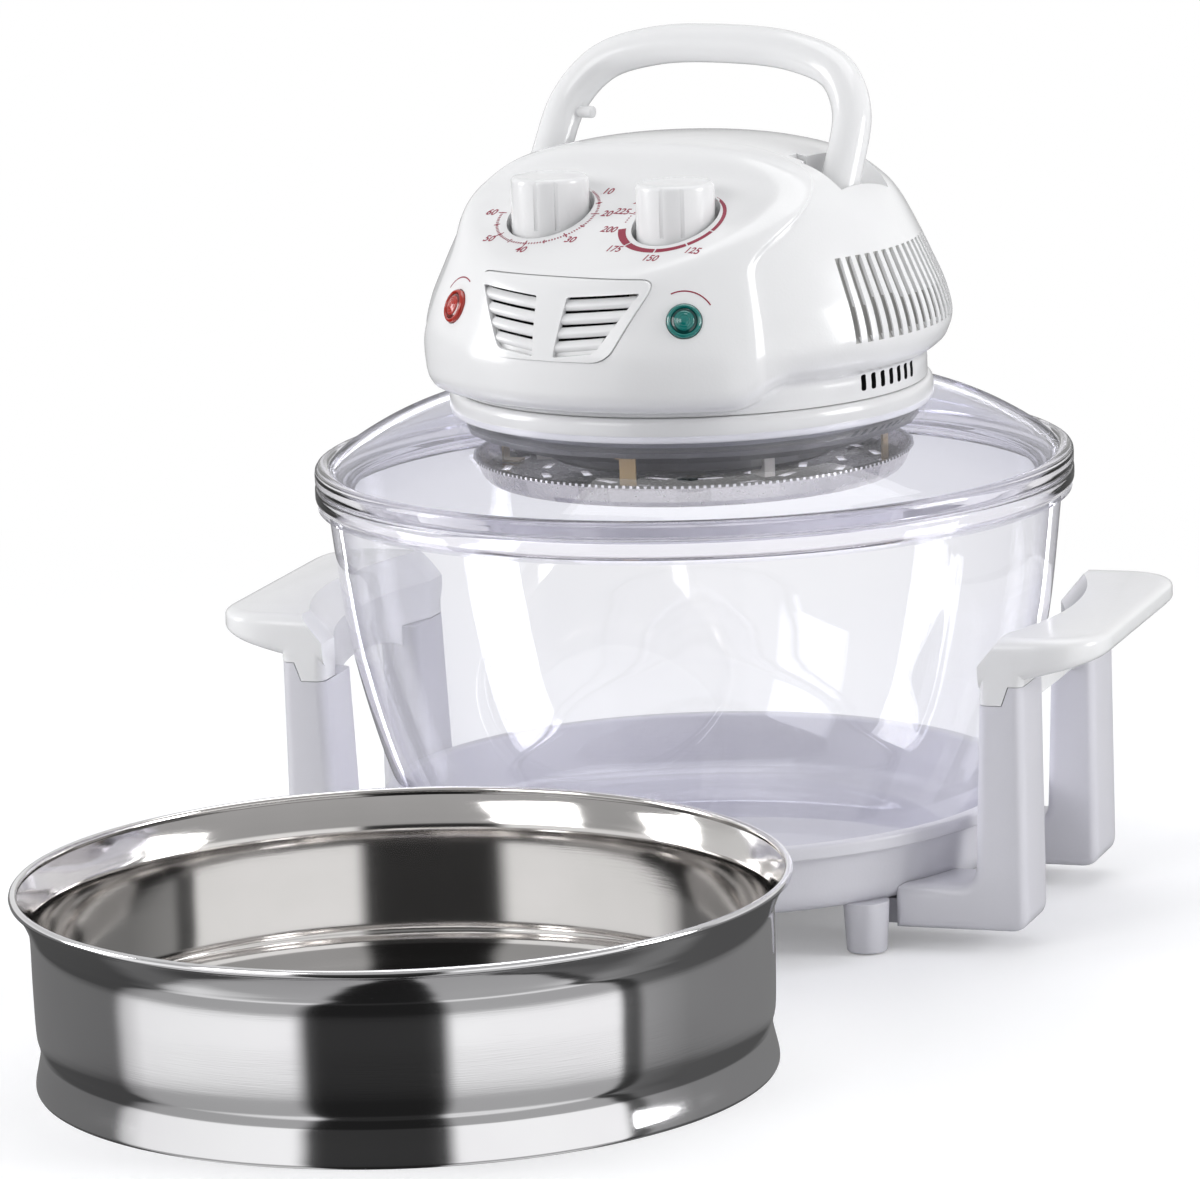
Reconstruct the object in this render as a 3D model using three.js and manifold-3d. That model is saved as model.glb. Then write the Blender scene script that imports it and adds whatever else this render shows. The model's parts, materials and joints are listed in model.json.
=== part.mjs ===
// Halogen convection oven: a glass bowl in a legged holder, a glass lid that carries the whole
// heater head, a folding carry handle, and a steel extension ring that stands beside the oven.
// Units are millimetres and degrees, +Z is up, and the oven faces -Y.
import * as THREE from 'three';
import { mergeVertices } from 'three/addons/utils/BufferGeometryUtils.js';
import Module from 'manifold-3d';

const wasm = await Module();
wasm.setup();

// Clearances shared by all parts
const seatGap = 0.3;
const slideGap = 0.6;
const runningGap = 1.6;
const cutOverrun = 6;

// Facet counts
const roundSegments = 40;
const coarseSegments = 24;
const fineSegments = 16;
const handleSteps = 22;
const handleSectionSegments = 6;

// Glass bowl
const bowlWallRadius = 160;
const bowlHeight = 166.7;
const glassWall = 4.5;
const rimOverhang = 5;
const bowlRimHeight = 9.5;

// Glass lid
const lidRimHeight = 8.1;
const lidRimWidth = 8;
const lidHeight = 29.2;
const lidLipDepth = 4;

// Base dish with its feet
const footHeight = 20;
const footRadius = 10;
const footTaper = 1.3;
const footRise = 6;
const footSpreadX = 97.5;
const footSpreadY = 84.1;
const padRadius = 5.6;
const padDepth = 3.4;
const padProud = 0.6;
const dishWall = 3;
const dishClearance = 2;
const dishHeight = 32;
const dishLipWidth = 3.6;
const dishLipHeight = 6;
const dishSideLean = 2.4;
const dishCorner = 8;
const dishCornerRise = 2;

// Legs and grips
const legGap = 2.7;
const legThickness = 19.3;
const legDepth = 36;
const legFrontY = 78;
const legLean = 3.6;
const legUndersideHeight = 9;
const legCornerRadius = 8;
const legEdgeRound = 4.5;
const legStepWidth = 6;
const legStepRun = 3;
const legStepRise = 8.2;
const armHeight = 19.4;
const armFilletRadius = 8;
const tongueLength = 22;
const tongueWidth = 26;
const tenonHeight = 12;
const tenonMargin = 4.5;
const screwShankRadius = 2;
const screwHeadRadius = 4;
const screwHeadHeight = 2.4;
const gripTopHeight = 136;
const gripEndHeight = 29;
const gripThickness = 18;
const gripUndersideSlope = 14;
const gripReach = 52;
const gripCornerRadius = 28;
const gripEdgeRound = 5.5;
const gripBowlGap = 5;
const gripChamfer = 10;
const gripChamferDrop = 12;
const apronThickness = 4;
const apronDrop = 39;
const apronArch = 7;

// Base ring of the head and the plates under it
const baseRingRadius = 105;
const baseRingLap = 14;
const baseRingHeight = 11.2;
const baseRingWall = 3;
const baseRingFloor = 3;
const baseRingRound = 2;
const spigotDepth = 4;
const clampThickness = 2;
const clampReachIn = 15;
const clampReachOut = 7;
const plateThickness = 1.2;
const reflectorInset = 7;
const reflectorSkirt = 4;
const heaterInset = 22;
const heaterTubeRadius = 3.6;
const heaterDrop = 8;
const heaterOpenAngle = 16;
const holderWall = 2;
const holderLength = 5;
const heaterEndBlockLength = 22;

// Guard tray under the heater and its brass hangers
const trayRimOverlap = 4.8;
const trayFloorInset = 1;
const trayHeight = 10;
const trayWall = 1;
const trayDrop = 21.8;
const trayBead = 1.1;
const traySlotLength = 11;
const traySlotWidth = 3.6;
const trayRowPitch = 17.4;
const trayFirstRow = 30;
const traySlotGapShare = 0.62;
const stripWidth = 7.3;
const stripThickness = 1;
const stripInset = 5.2;
const stripFoot = 7;
const stripStartAngle = -77;

// Head cover
const coverRadius = 118;
const coverHeight = 107.7;
const coverWall = 2.6;
const neckShare = 0.2;
const hoodAngle = 45;
const hoodTopAngle = 78;
const hoodStep = 2.2;
const hoodFadeBefore = 5;
const hoodFadeAfter = 10;
const hoodWidenShares = [0.55, 0.95];
const hoodStepShares = [0.05, 0.2, 0.93, 1];
const hoodColumns = 7;
const sideColumns = 9;
const hoodStepAngle = 1.5;
const hoodEdgeAngle = 0.1;
const innerRowStep = 2;
const panelDrop = 28.8;
const panelSlope = 25;
const panelStepDistance = 25;
const panelStepDrop = 5;
const panelStepSlope = 50;
const panelBlend = 5;
const headTurn = -14;

// Dials, knobs and what they turn
const knobRadius = 17;
const knobHeight = 31;
const knobSpacing = 62.8;
const knobDistance = 59;
const knobTopDrop = 12.6;
const knobEdgeRound = 1.6;
const knobBarWidth = 9;
const knobGroove = 1;
const knobGrooveLength = 22;
const knobTurn = 26;
const dialWellGap = 2;
const dialWellWall = 2.2;
const dialFloor = 2;
const spindleRadius = 3;
const spindleInKnob = 22;
const timerRadius = 19;
const timerHeight = 26;
const thermostatWidth = 30;
const thermostatHeight = 18;
const spindleInTimer = 9;

// Front grille
const grilleTopHalfWidth = 44;
const grilleBottomHalfWidth = 29;
const grilleTopDrop = 49;
const grilleHeight = 33;
const grilleCorner = 6;
const grilleProud = 1;
const grilleThickness = 2.4;
const grilleBarTop = 15;
const grilleBarBottom = 10;
const louvreRows = 5;
const louvreHeight = 2;
const louvrePitch = 5.6;
const louvreRun = 4.4;
const louvreMargin = 5;

// Lamps
const lensRadius = 7.4;
const lensProud = 2.6;
const lensCrownShares = [[1, 1 / 3], [0.8, 0.75], [0.45, 1], [0, 1]];
const lampDepth = 12;
const lampFlange = 1.4;
const lampSpacing = 114.4;
const lampHeightInCover = 42.3;

// Side ribs and neck vents
const ribCount = 15;
const ribPitchAngle = 3.3;
const ribMiddleAngle = 3.5;
const ribWidth = 2.2;
const ribDepth = 1.5;
const ribEndShares = [0, 0.08, 0.92, 1];
const ribBottomDrop = 81;
const ribTopDrop = 46;
const ventCount = 7;
const ventPitchAngle = 3.6;
const ventMiddleAngle = -2;
const ventWidth = 3;
const ventHeight = 7;
const ventRise = 3.6;

// Carry handle
const handleSpan = 148;
const handleRise = 72.8;
const handleTubeWidth = 17;
const handleTubeDepth = 16.5;
const handleLean = 30;
const handleShares = [[1, 0], [1, 0.27], [0.965, 0.6], [0.8, 0.845], [0.48, 0.965], [0, 1]];
const handlePivotDrop = 30;
const foldedElevation = 28;
const handlePinRadius = 3;
const handlePinGrip = 5;
const channelGap = 1.4;
const channelInnerRoom = 3;
const pegRadius = 2.6;
const pegLength = 8;
const pegRise = 38;
const latchSlotWidth = 5;
const latchSlotLength = 7;

// Motor, fans and switch gear
const shaftRadius = 3;
const shaftHoleRadius = 5;
const rotorRadius = 11.6;
const rotorHeight = 18;
const statorWidth = 60;
const statorDepth = 46;
const statorHeight = 20;
const statorRise = 10;
const coilWidth = 24;
const coilRadius = 9;
const bracketWall = 1.6;
const coolingFanRadius = 38;
const coolingFanRise = 20;
const heatFanRadius = 42;
const heatFanDrop = 4;
const fanHubRadius = 7;
const fanHubHeight = 9;
const fanBladeThickness = 1.2;
const fanBladePitch = 32;
const fanBladeShare = 0.9;
const coolingFanBlades = 7;
const heatFanBlades = 6;
const nutHeight = 3.4;
const nutRadius = 5;
const nutSides = 6;
const shaftEnd = 2;
const switchLength = 20;
const switchWidth = 8;
const switchHeight = 10;
const terminalLength = 34;
const terminalDepth = 14;
const terminalHeight = 15;
const terminalInset = 33;
const glandRadius = 6;
const glandFlange = 3;
const glandLength = 13;
const glandCollar = 2;
const glandBore = 3.4;
const glandRise = 26;
const coverPostRadius = 4.2;
const coverPostCircle = 90;

// Extension ring beside the oven
const ringRimRadius = 157;
const ringHeight = 80;
const ringWall = 1.2;
const ringStandoff = 2;
const ringDirectionAngle = 263.8;

// Radii that follow from the base ring
const lidHoleRadius = baseRingRadius - baseRingLap;
const clampInnerRadius = lidHoleRadius - clampReachIn;
const reflectorRadius = lidHoleRadius - reflectorInset;
const heaterRadius = reflectorRadius - heaterInset;
const terminalDistance = baseRingRadius - terminalInset;
const trayRimRadius = lidHoleRadius + trayRimOverlap;
const trayFloorRadius = lidHoleRadius - trayFloorInset;

// Heights that follow from the stack of parts
const dishFloorTop = footHeight + dishWall;
const bowlBase = dishFloorTop + seatGap;
const bowlTop = bowlBase + bowlHeight;
const rimRadius = bowlWallRadius + rimOverhang;
const lidBase = bowlTop + seatGap;
const lidTop = lidBase + lidHeight;
const baseRingBottom = lidTop + seatGap;
const baseRingTop = baseRingBottom + baseRingHeight;
const coverBottom = baseRingTop + seatGap;
const coverTop = coverBottom + coverHeight;
const platformTop = baseRingBottom + baseRingFloor + seatGap + plateThickness;
const clampTop = lidTop - glassWall - seatGap;
const reflectorTop = clampTop - clampThickness - seatGap;
const trayBottom = reflectorTop - trayDrop;
const handlePivotHeight = coverTop - handlePivotDrop;
const legSeamHeight = gripTopHeight - gripEndHeight;

const { cos, sin, abs, min, max, hypot, sqrt, floor, PI } = Math;
const radians = THREE.MathUtils.degToRad;
const lerp = THREE.MathUtils.lerp;
const smoothstep = THREE.MathUtils.smoothstep;

// Turns a closed three.js geometry into a solid whose faces point out.
function solid(geometry) {
  const bare = geometry.clone();
  bare.deleteAttribute('normal');
  bare.deleteAttribute('uv');
  const merged = mergeVertices(bare);
  const position = merged.attributes.position;
  const corner = [0, 1, 2].map(() => new THREE.Vector3());
  const triangles = [];
  let volume = 0;
  for (let i = 0; i < merged.index.count; i += 3) {
    const face = [0, 1, 2].map((k) => merged.index.getX(i + k));
    if (new Set(face).size < 3) continue;
    face.forEach((vertex, k) => corner[k].fromBufferAttribute(position, vertex));
    volume += corner[0].dot(corner[1].clone().cross(corner[2]));
    triangles.push(face);
  }
  const outward = volume > 0 ? triangles : triangles.map(([a, b, c]) => [a, c, b]);
  return new wasm.Manifold(new wasm.Mesh({
    numProp: 3,
    vertProperties: new Float32Array(position.array),
    triVerts: new Uint32Array(outward.flat()),
  }));
}

function geometryOf(manifold) {
  const { vertProperties, triVerts } = manifold.getMesh();
  const geometry = new THREE.BufferGeometry();
  geometry.setAttribute('position', new THREE.BufferAttribute(vertProperties, 3));
  geometry.setIndex(new THREE.BufferAttribute(triVerts, 1));
  geometry.computeVertexNormals();
  return geometry;
}

function joined(first, ...others) {
  return others.reduce((body, other) => body.add(other), first);
}

function cut(body, ...tools) {
  return tools.reduce((rest, tool) => rest.subtract(tool), body);
}

// Revolves an outline of [radius, height] points about the vertical axis.
function revolved(outline, segments = roundSegments) {
  const points = outline.map(([radius, height]) => new THREE.Vector2(radius, height));
  points.push(points[0].clone());
  return new THREE.LatheGeometry(points, segments).rotateX(PI / 2);
}

// A round bar standing on a height, from bottom to top.
function roundBar(radius, bottom, top, segments = fineSegments) {
  const bar = new THREE.CylinderGeometry(radius, radius, top - bottom, segments);
  return bar.rotateX(PI / 2).translate(0, 0, (bottom + top) / 2);
}

function taperedBar(topRadius, bottomRadius, bottom, top, segments = fineSegments) {
  const bar = new THREE.CylinderGeometry(topRadius, bottomRadius, top - bottom, segments);
  return bar.rotateX(PI / 2).translate(0, 0, (bottom + top) / 2);
}

// A box given by its lowest and highest corners.
function block([x0, y0, z0], [x1, y1, z1]) {
  return new THREE.BoxGeometry(x1 - x0, y1 - y0, z1 - z0)
    .translate((x0 + x1) / 2, (y0 + y1) / 2, (z0 + z1) / 2);
}

function shapeOf(points) {
  return new THREE.Shape(points.map(([x, y]) => new THREE.Vector2(x, y)));
}

// A polygon with its corners rounded by one radius, or by one radius for each corner.
function roundedShape(corners, radius, steps = 4) {
  const radii = Array.isArray(radius) ? radius : corners.map(() => radius);
  const points = [];
  corners.forEach((point, i) => {
    const here = new THREE.Vector2(...point);
    const before = new THREE.Vector2(...corners[(i + corners.length - 1) % corners.length]).sub(here);
    const after = new THREE.Vector2(...corners[(i + 1) % corners.length]).sub(here);
    const reach = min(radii[i], before.length() / 2, after.length() / 2);
    if (reach === 0) {
      points.push(here);
      return;
    }
    const start = here.clone().addScaledVector(before.normalize(), reach);
    const end = here.clone().addScaledVector(after.normalize(), reach);
    points.push(...new THREE.QuadraticBezierCurve(start, here, end).getPoints(steps));
  });
  return new THREE.Shape(points);
}

// Extrudes a shape upward from a height, with its rims rounded inside the outline.
function slab(shape, bottom, height, round = 0, curveSegments = 6) {
  const geometry = new THREE.ExtrudeGeometry(shape, {
    depth: height - 2 * round,
    bevelEnabled: round > 0,
    bevelThickness: round,
    bevelSize: round,
    bevelOffset: -round,
    bevelSegments: 2,
    curveSegments,
  });
  return geometry.translate(0, 0, bottom + round);
}

// Moves each point of an open outline to the right of its direction of travel.
function offsetOutline(outline, distance) {
  return outline.map((point, i) => {
    const a = outline[max(i - 1, 0)];
    const b = outline[min(i + 1, outline.length - 1)];
    const length = hypot(b[0] - a[0], b[1] - a[1]);
    return [point[0] + ((b[1] - a[1]) / length) * distance, point[1] - ((b[0] - a[0]) / length) * distance];
  });
}

function onCircle(radius, angle, height = 0) {
  return new THREE.Vector3(radius * cos(radians(angle)), radius * sin(radians(angle)), height);
}

function rangeOf(count) {
  return Array.from({ length: count }, (_, i) => i);
}

function anglesAround(count, pitch, middle) {
  return rangeOf(count).map((i) => middle + (i - (count - 1) / 2) * pitch);
}

const materials = {
  glass: { color: 0xd9dbe8, roughness: 0.06, metalness: 0, opacity: 0.35, transparent: true },
  whitePlastic: { color: 0xf1f1f0, roughness: 0.28, metalness: 0 },
  lilacPlastic: { color: 0xe4e3ea, roughness: 0.4, metalness: 0 },
  rubber: { color: 0x4a4a4d, roughness: 0.85, metalness: 0 },
  polishedSteel: { color: 0xc9cbcf, roughness: 0.12, metalness: 1 },
  dullSteel: { color: 0xa7a9ab, roughness: 0.4, metalness: 1 },
  brass: { color: 0xa98a54, roughness: 0.38, metalness: 1 },
  ceramic: { color: 0xe9e2d2, roughness: 0.7, metalness: 0 },
  redLens: { color: 0xc3281a, roughness: 0.12, metalness: 0 },
  greenLens: { color: 0x0b8a80, roughness: 0.12, metalness: 0 },
  copper: { color: 0xa8552c, roughness: 0.45, metalness: 1 },
  blackPlastic: { color: 0x232326, roughness: 0.5, metalness: 0 },
};
for (const [name, values] of Object.entries(materials)) {
  materials[name] = new THREE.MeshStandardMaterial({ name, ...values });
}

function part(name, body, material) {
  const geometry = body.isBufferGeometry ? body : geometryOf(body);
  const mesh = new THREE.Mesh(geometry, material);
  mesh.name = name;
  return mesh;
}

// Outer outline of the bowl's wall, from the middle of its floor to the underside of its rim,
// as shares of the wall's radius and of the bowl's height.
const bowlOutlineShares = [
  [0, 0], [0.6, 0], [0.675, 0.013], [0.7375, 0.046], [0.7875, 0.1], [0.825, 0.172],
  [0.872, 0.289], [0.925, 0.472], [0.9625, 0.652], [1, 0.94],
];
const bowlOutline = bowlOutlineShares.map(([r, h]) => [r * bowlWallRadius, bowlBase + h * bowlHeight]);

function bowlRadiusAt(height) {
  const above = bowlOutline.findIndex((point) => point[1] >= height && point[1] > bowlBase);
  const [r0, z0] = bowlOutline[above - 1];
  const [r1, z1] = bowlOutline[above];
  return lerp(r0, r1, (height - z0) / (z1 - z0));
}

function glassBowl() {
  const rimUnderside = bowlTop - bowlRimHeight;
  const rimRound = bowlRimHeight / 4;
  const outer = [
    ...bowlOutline,
    [rimRadius - rimRound, rimUnderside],
    [rimRadius, rimUnderside + rimRound],
    [rimRadius, bowlTop],
  ];
  const inner = offsetOutline(bowlOutline, -glassWall);
  inner[0][0] = 0;
  const mouth = [bowlWallRadius - glassWall, bowlTop];
  return solid(revolved([...outer, mouth, ...inner.reverse()]));
}

// Outer face of the lid from the rim to the hole, as shares of the lid's span and rise.
const lidDomeShares = [[0, 0], [0.13, 0.3], [0.32, 0.6], [0.52, 0.82], [0.68, 0.93], [0.8, 1], [1, 1]];

function glassLid() {
  const rimTop = lidBase + lidRimHeight;
  const domeStart = rimRadius - lidRimWidth - rimOverhang / 2;
  const domeBase = lidBase + rimOverhang / 2;
  const dome = lidDomeShares.map(([r, h]) => [lerp(domeStart, lidHoleRadius, r), lerp(domeBase, lidTop, h)]);
  const rimRound = lidRimHeight / 3;
  const lipRadius = bowlWallRadius - glassWall - slideGap;
  const under = offsetOutline(dome, -glassWall).reverse();
  under[0] = [lidHoleRadius, lidTop - glassWall];
  under[under.length - 1] = [lipRadius - glassWall, lidBase - lidLipDepth];
  const outline = [
    [lipRadius, lidBase - lidLipDepth],
    [lipRadius, lidBase],
    [rimRadius, lidBase],
    [rimRadius, rimTop - rimRound],
    [rimRadius - rimRound, rimTop],
    [rimRadius - lidRimWidth, rimTop],
    ...dome,
    ...under,
  ];
  return solid(revolved(outline));
}

// The dish has a flat floor and a steep side that clears the bowl at its lip.
function dishOutlines() {
  const lipTop = footHeight + dishHeight;
  const sideTop = bowlRadiusAt(lipTop) + dishClearance + dishWall;
  const sideFoot = sideTop - dishSideLean;
  const outer = [
    [0, footHeight],
    [sideFoot - 2 * dishCorner, footHeight],
    [sideFoot - dishCorner / 2, footHeight + dishCornerRise],
    [sideFoot, footHeight + dishCorner],
    [sideTop, lipTop - dishLipHeight],
  ];
  const inner = offsetOutline(outer, -dishWall);
  inner[0] = [0, dishFloorTop];
  inner[inner.length - 1] = [sideTop - dishWall, lipTop];
  outer.push([sideTop + dishLipWidth, lipTop - dishLipHeight]);
  outer.push([sideTop + dishLipWidth, lipTop]);
  return { inner, outer, lipRadius: sideTop + dishLipWidth, lipTop };
}
const dish = dishOutlines();
const corners = [[-1, -1], [1, -1], [-1, 1], [1, 1]];
const legInnerX = dish.lipRadius + legGap;
const legOuterX = legInnerX + legLean + legThickness;
const tongueEndX = footSpreadX + footRadius + slideGap - tongueLength;
const tongueMiddleX = tongueEndX + tongueLength / 3;
const tongueMiddleY = legFrontY - legDepth + tongueWidth / 2;

function baseDish() {
  let body = solid(revolved([...dish.outer, ...[...dish.inner].reverse()]));
  const hollow = solid(revolved([...dish.inner, [dish.inner.at(-1)[0], dish.lipTop + cutOverrun],
    [0, dish.lipTop + cutOverrun]]));
  for (const [sx, sy] of corners) {
    const at = [sx * footSpreadX, sy * footSpreadY, 0];
    const post = solid(taperedBar(footRadius, footRadius - footTaper, padProud, footHeight + footRise)
      .translate(...at));
    const pocket = solid(roundBar(padRadius + seatGap, 0, padDepth + seatGap).translate(...at));
    const pilot = solid(roundBar(screwShankRadius + seatGap, 0, dishFloorTop - dishWall / 3)
      .translate(sx * tongueMiddleX, sy * tongueMiddleY, 0));
    body = cut(joined(body, cut(post, hollow)), pocket, pilot);
  }
  return body;
}

function footPad(sx, sy) {
  return solid(roundBar(padRadius, 0, padDepth).translate(sx * footSpreadX, sy * footSpreadY, 0));
}

// One L-shaped leg: an upright beside the bowl and an arm that runs in under the dish.
function leg(sx, sy) {
  const bottom = legUndersideHeight;
  const armTop = bottom + armHeight;
  const stepTop = legSeamHeight + legStepRise;
  const stepInner = legOuterX - legStepWidth;
  const armEndX = footSpreadX + footRadius + slideGap;
  const profile = roundedShape([
    [armEndX, bottom], [legOuterX, bottom], [legOuterX, stepTop],
    [legInnerX + legLean, stepTop], [legInnerX, armTop], [armEndX, armTop],
  ], [0, legCornerRadius, 0, 0, armFilletRadius, 0]);
  const upright = slab(profile, 0, legDepth, legEdgeRound).rotateX(PI / 2)
    .translate(0, legFrontY, 0);
  const tongue = block([tongueEndX, legFrontY - legDepth, bottom],
    [armEndX + armHeight / 2, legFrontY - legDepth + tongueWidth, footHeight - seatGap]);
  const tenon = block(
    [legInnerX + legLean + tenonMargin, legFrontY - legDepth + tenonMargin, legSeamHeight - tenonHeight],
    [legOuterX - tenonMargin, legFrontY - tenonMargin, legSeamHeight + tenonHeight],
  );
  const dishRoom = solid(revolved([
    ...offsetOutline(dish.outer, seatGap).map(([r, z]) => [max(r, 0), z]),
    [0, dish.lipTop + cutOverrun],
  ]));
  const screwHole = solid(roundBar(screwShankRadius + seatGap, 0, dish.lipTop)
    .translate(tongueMiddleX, tongueMiddleY, 0));
  const headRoom = solid(roundBar(screwHeadRadius + seatGap, 0, bottom + screwHeadHeight)
    .translate(tongueMiddleX, tongueMiddleY, 0));
  const gripRoom = solid(slab(shapeOf([
    [0, legSeamHeight], [stepInner - legStepRun, legSeamHeight], [stepInner, stepTop],
    [stepInner, stepTop + cutOverrun], [0, stepTop + cutOverrun],
  ]), 0, legFrontY * 2).rotateX(PI / 2).translate(0, legFrontY * 2, 0));
  const whole = joined(cut(solid(upright), gripRoom), solid(tongue), solid(tenon));
  const body = cut(whole, dishRoom, screwHole, headRoom);
  return mirrored(body, sx, sy);
}

// Mirrors a body made on the +X +Y side.
function mirrored(body, sx, sy) {
  const geometry = geometryOf(body).scale(sx, sy, 1);
  return solid(geometry);
}

function legScrew(sx, sy) {
  const head = legUndersideHeight;
  const body = joined(
    solid(roundBar(screwHeadRadius, head - seatGap, head + screwHeadHeight - seatGap)),
    solid(roundBar(screwShankRadius, head, dishFloorTop - dishWall / 2)),
  );
  return solid(geometryOf(body).translate(sx * tongueMiddleX, sy * tongueMiddleY, 0));
}

// Lifts the underside of a grip's plate more and more towards its outer edge.
function risingUnderside(geometry) {
  const slope = sin(radians(gripUndersideSlope)) / cos(radians(gripUndersideSlope));
  const position = geometry.attributes.position;
  for (const i of rangeOf(position.count)) {
    const depth = (gripTopHeight - position.getZ(i)) / gripThickness;
    position.setZ(i, position.getZ(i) + depth * slope * (position.getX(i) - legOuterX));
  }
  return geometry;
}

// The room that the raised outer step of a leg takes at one end of its grip.
function stepRoom(sy) {
  const low = legSeamHeight - cutOverrun;
  const high = legSeamHeight + legStepRise + seatGap;
  const side = legOuterX - legStepWidth - seatGap;
  return slab(shapeOf([
    [side - legStepRun, low], [legOuterX + cutOverrun, low], [legOuterX + cutOverrun, high],
    [side, high], [side - legStepRun, legSeamHeight + seatGap],
  ]), 0, legFrontY).rotateX(PI / 2)
    .translate(0, sy > 0 ? legFrontY * 2 - legDepth : legDepth - legFrontY, 0);
}

// One grip: a flat finger plate bridging two legs, with an apron that follows the bowl.
function grip(sx) {
  const outerX = legInnerX + legLean + gripReach;
  const innerX = legInnerX + legLean;
  const gripBase = gripTopHeight - gripThickness;
  const plan = roundedShape([
    [innerX - gripReach, -legFrontY], [outerX, -legFrontY],
    [outerX, legFrontY], [innerX - gripReach, legFrontY],
  ], [0, gripCornerRadius, gripCornerRadius, 0], 6);
  const bowlSide = bowlRadiusAt(gripTopHeight) + gripBowlGap;
  const apronBottom = gripTopHeight - apronDrop;
  const apronHalf = legFrontY - legDepth / 2;
  const innerEnd = legFrontY - legDepth - seatGap;
  let body = solid(risingUnderside(slab(plan, gripBase, gripThickness, gripEdgeRound)));
  const apron = cut(
    solid(roundBar(bowlSide + apronThickness, apronBottom, gripTopHeight - gripEdgeRound, roundSegments)),
    solid(roundBar(bowlSide, apronBottom - cutOverrun, gripTopHeight, roundSegments)),
  ).intersect(solid(block([0, -apronHalf, apronBottom - cutOverrun], [outerX, apronHalf, gripTopHeight])));
  const arch = solid(new THREE.CylinderGeometry(1, 1, gripReach * 3, coarseSegments)
    .rotateZ(PI / 2).scale(1, legFrontY - legDepth, apronArch).translate(innerX, 0, apronBottom));
  const legRooms = [-1, 1].map((sy) => solid(block([0, min(sy * innerEnd, sy * outerX), 0],
    [outerX, max(sy * innerEnd, sy * outerX), legSeamHeight + seatGap])));
  body = joined(body, cut(apron, arch, ...legRooms));
  for (const sy of [-1, 1]) {
    const y0 = sy < 0 ? -legFrontY : legFrontY - legDepth;
    const capLow = legSeamHeight + seatGap;
    const capShape = roundedShape([[innerX, y0], [legOuterX, y0], [legOuterX, y0 + legDepth],
      [innerX, y0 + legDepth]], legEdgeRound);
    const pocket = block(
      [innerX + tenonMargin - seatGap, y0 + tenonMargin - seatGap, capLow - cutOverrun],
      [legOuterX - tenonMargin + seatGap, y0 + legDepth - tenonMargin + seatGap,
        legSeamHeight + tenonHeight + seatGap],
    );
    const cap = solid(slab(capShape, capLow, gripTopHeight - gripEdgeRound - capLow));
    body = cut(joined(body, cap), solid(pocket));
  }
  const chamferBottom = gripTopHeight - gripChamferDrop;
  const edgeChamfer = slab(shapeOf([
    [innerX - cutOverrun, chamferBottom], [innerX, chamferBottom], [innerX + gripChamfer, gripTopHeight],
    [innerX + gripChamfer, gripTopHeight + cutOverrun], [innerX - cutOverrun, gripTopHeight + cutOverrun],
  ]), -legFrontY * 2, legFrontY * 4).rotateX(PI / 2);
  const bowlRoom = revolved([
    [0, apronBottom - cutOverrun], [bowlSide, apronBottom - cutOverrun], [bowlSide, chamferBottom],
    [bowlSide + gripChamfer, gripTopHeight], [bowlSide + gripChamfer, gripTopHeight + cutOverrun],
    [0, gripTopHeight + cutOverrun],
  ], roundSegments * 2);
  const stepRooms = [-1, 1].map((sy) => solid(stepRoom(sy)));
  const straightCut = block([0, -legFrontY * 2, 0], [innerX, legFrontY * 2, gripTopHeight + cutOverrun]);
  const between = block([0, -apronHalf, 0], [innerX, apronHalf, gripTopHeight * 2]);
  const endFaces = cut(solid(straightCut), solid(between));
  return mirrored(cut(body, solid(bowlRoom), solid(edgeChamfer), ...stepRooms, endFaces), sx, 1);
}

// Head: base ring, clamp and plates
const ringWallInner = baseRingRadius - baseRingWall - baseRingRound;

function baseRing() {
  const floorTop = baseRingBottom + baseRingFloor;
  const spigotOuter = lidHoleRadius - slideGap;
  const spigotInner = spigotOuter - baseRingWall;
  return solid(revolved([
    [spigotInner, baseRingBottom - spigotDepth],
    [spigotOuter, baseRingBottom - spigotDepth],
    [spigotOuter, baseRingBottom],
    [baseRingRadius - baseRingRound, baseRingBottom],
    [baseRingRadius, baseRingBottom + baseRingRound],
    [baseRingRadius, baseRingTop - baseRingRound],
    [baseRingRadius - baseRingRound, baseRingTop],
    [ringWallInner, baseRingTop],
    [ringWallInner, floorTop],
    [spigotInner, floorTop],
  ]));
}

function clampRing() {
  const outer = lidHoleRadius + clampReachOut;
  return solid(revolved([
    [clampInnerRadius, clampTop - clampThickness],
    [outer, clampTop - clampThickness],
    [outer, clampTop],
    [clampInnerRadius, clampTop],
  ], coarseSegments));
}

function platform() {
  const bottom = platformTop - plateThickness;
  const outer = ringWallInner - slideGap;
  return solid(revolved([
    [shaftHoleRadius, bottom], [outer, bottom], [outer, platformTop], [shaftHoleRadius, platformTop],
  ], coarseSegments));
}

const reflectorUnderside = reflectorTop - plateThickness;
const heaterHeight = reflectorUnderside - heaterDrop;

function reflector() {
  const flareRadius = reflectorRadius + reflectorSkirt / 2;
  const skirtBottom = reflectorTop - reflectorSkirt;
  return solid(revolved([
    [shaftHoleRadius, reflectorUnderside],
    [reflectorRadius - plateThickness, reflectorUnderside],
    [flareRadius - plateThickness, skirtBottom],
    [flareRadius, skirtBottom],
    [reflectorRadius, reflectorTop],
    [shaftHoleRadius, reflectorTop],
  ], coarseSegments));
}

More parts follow.
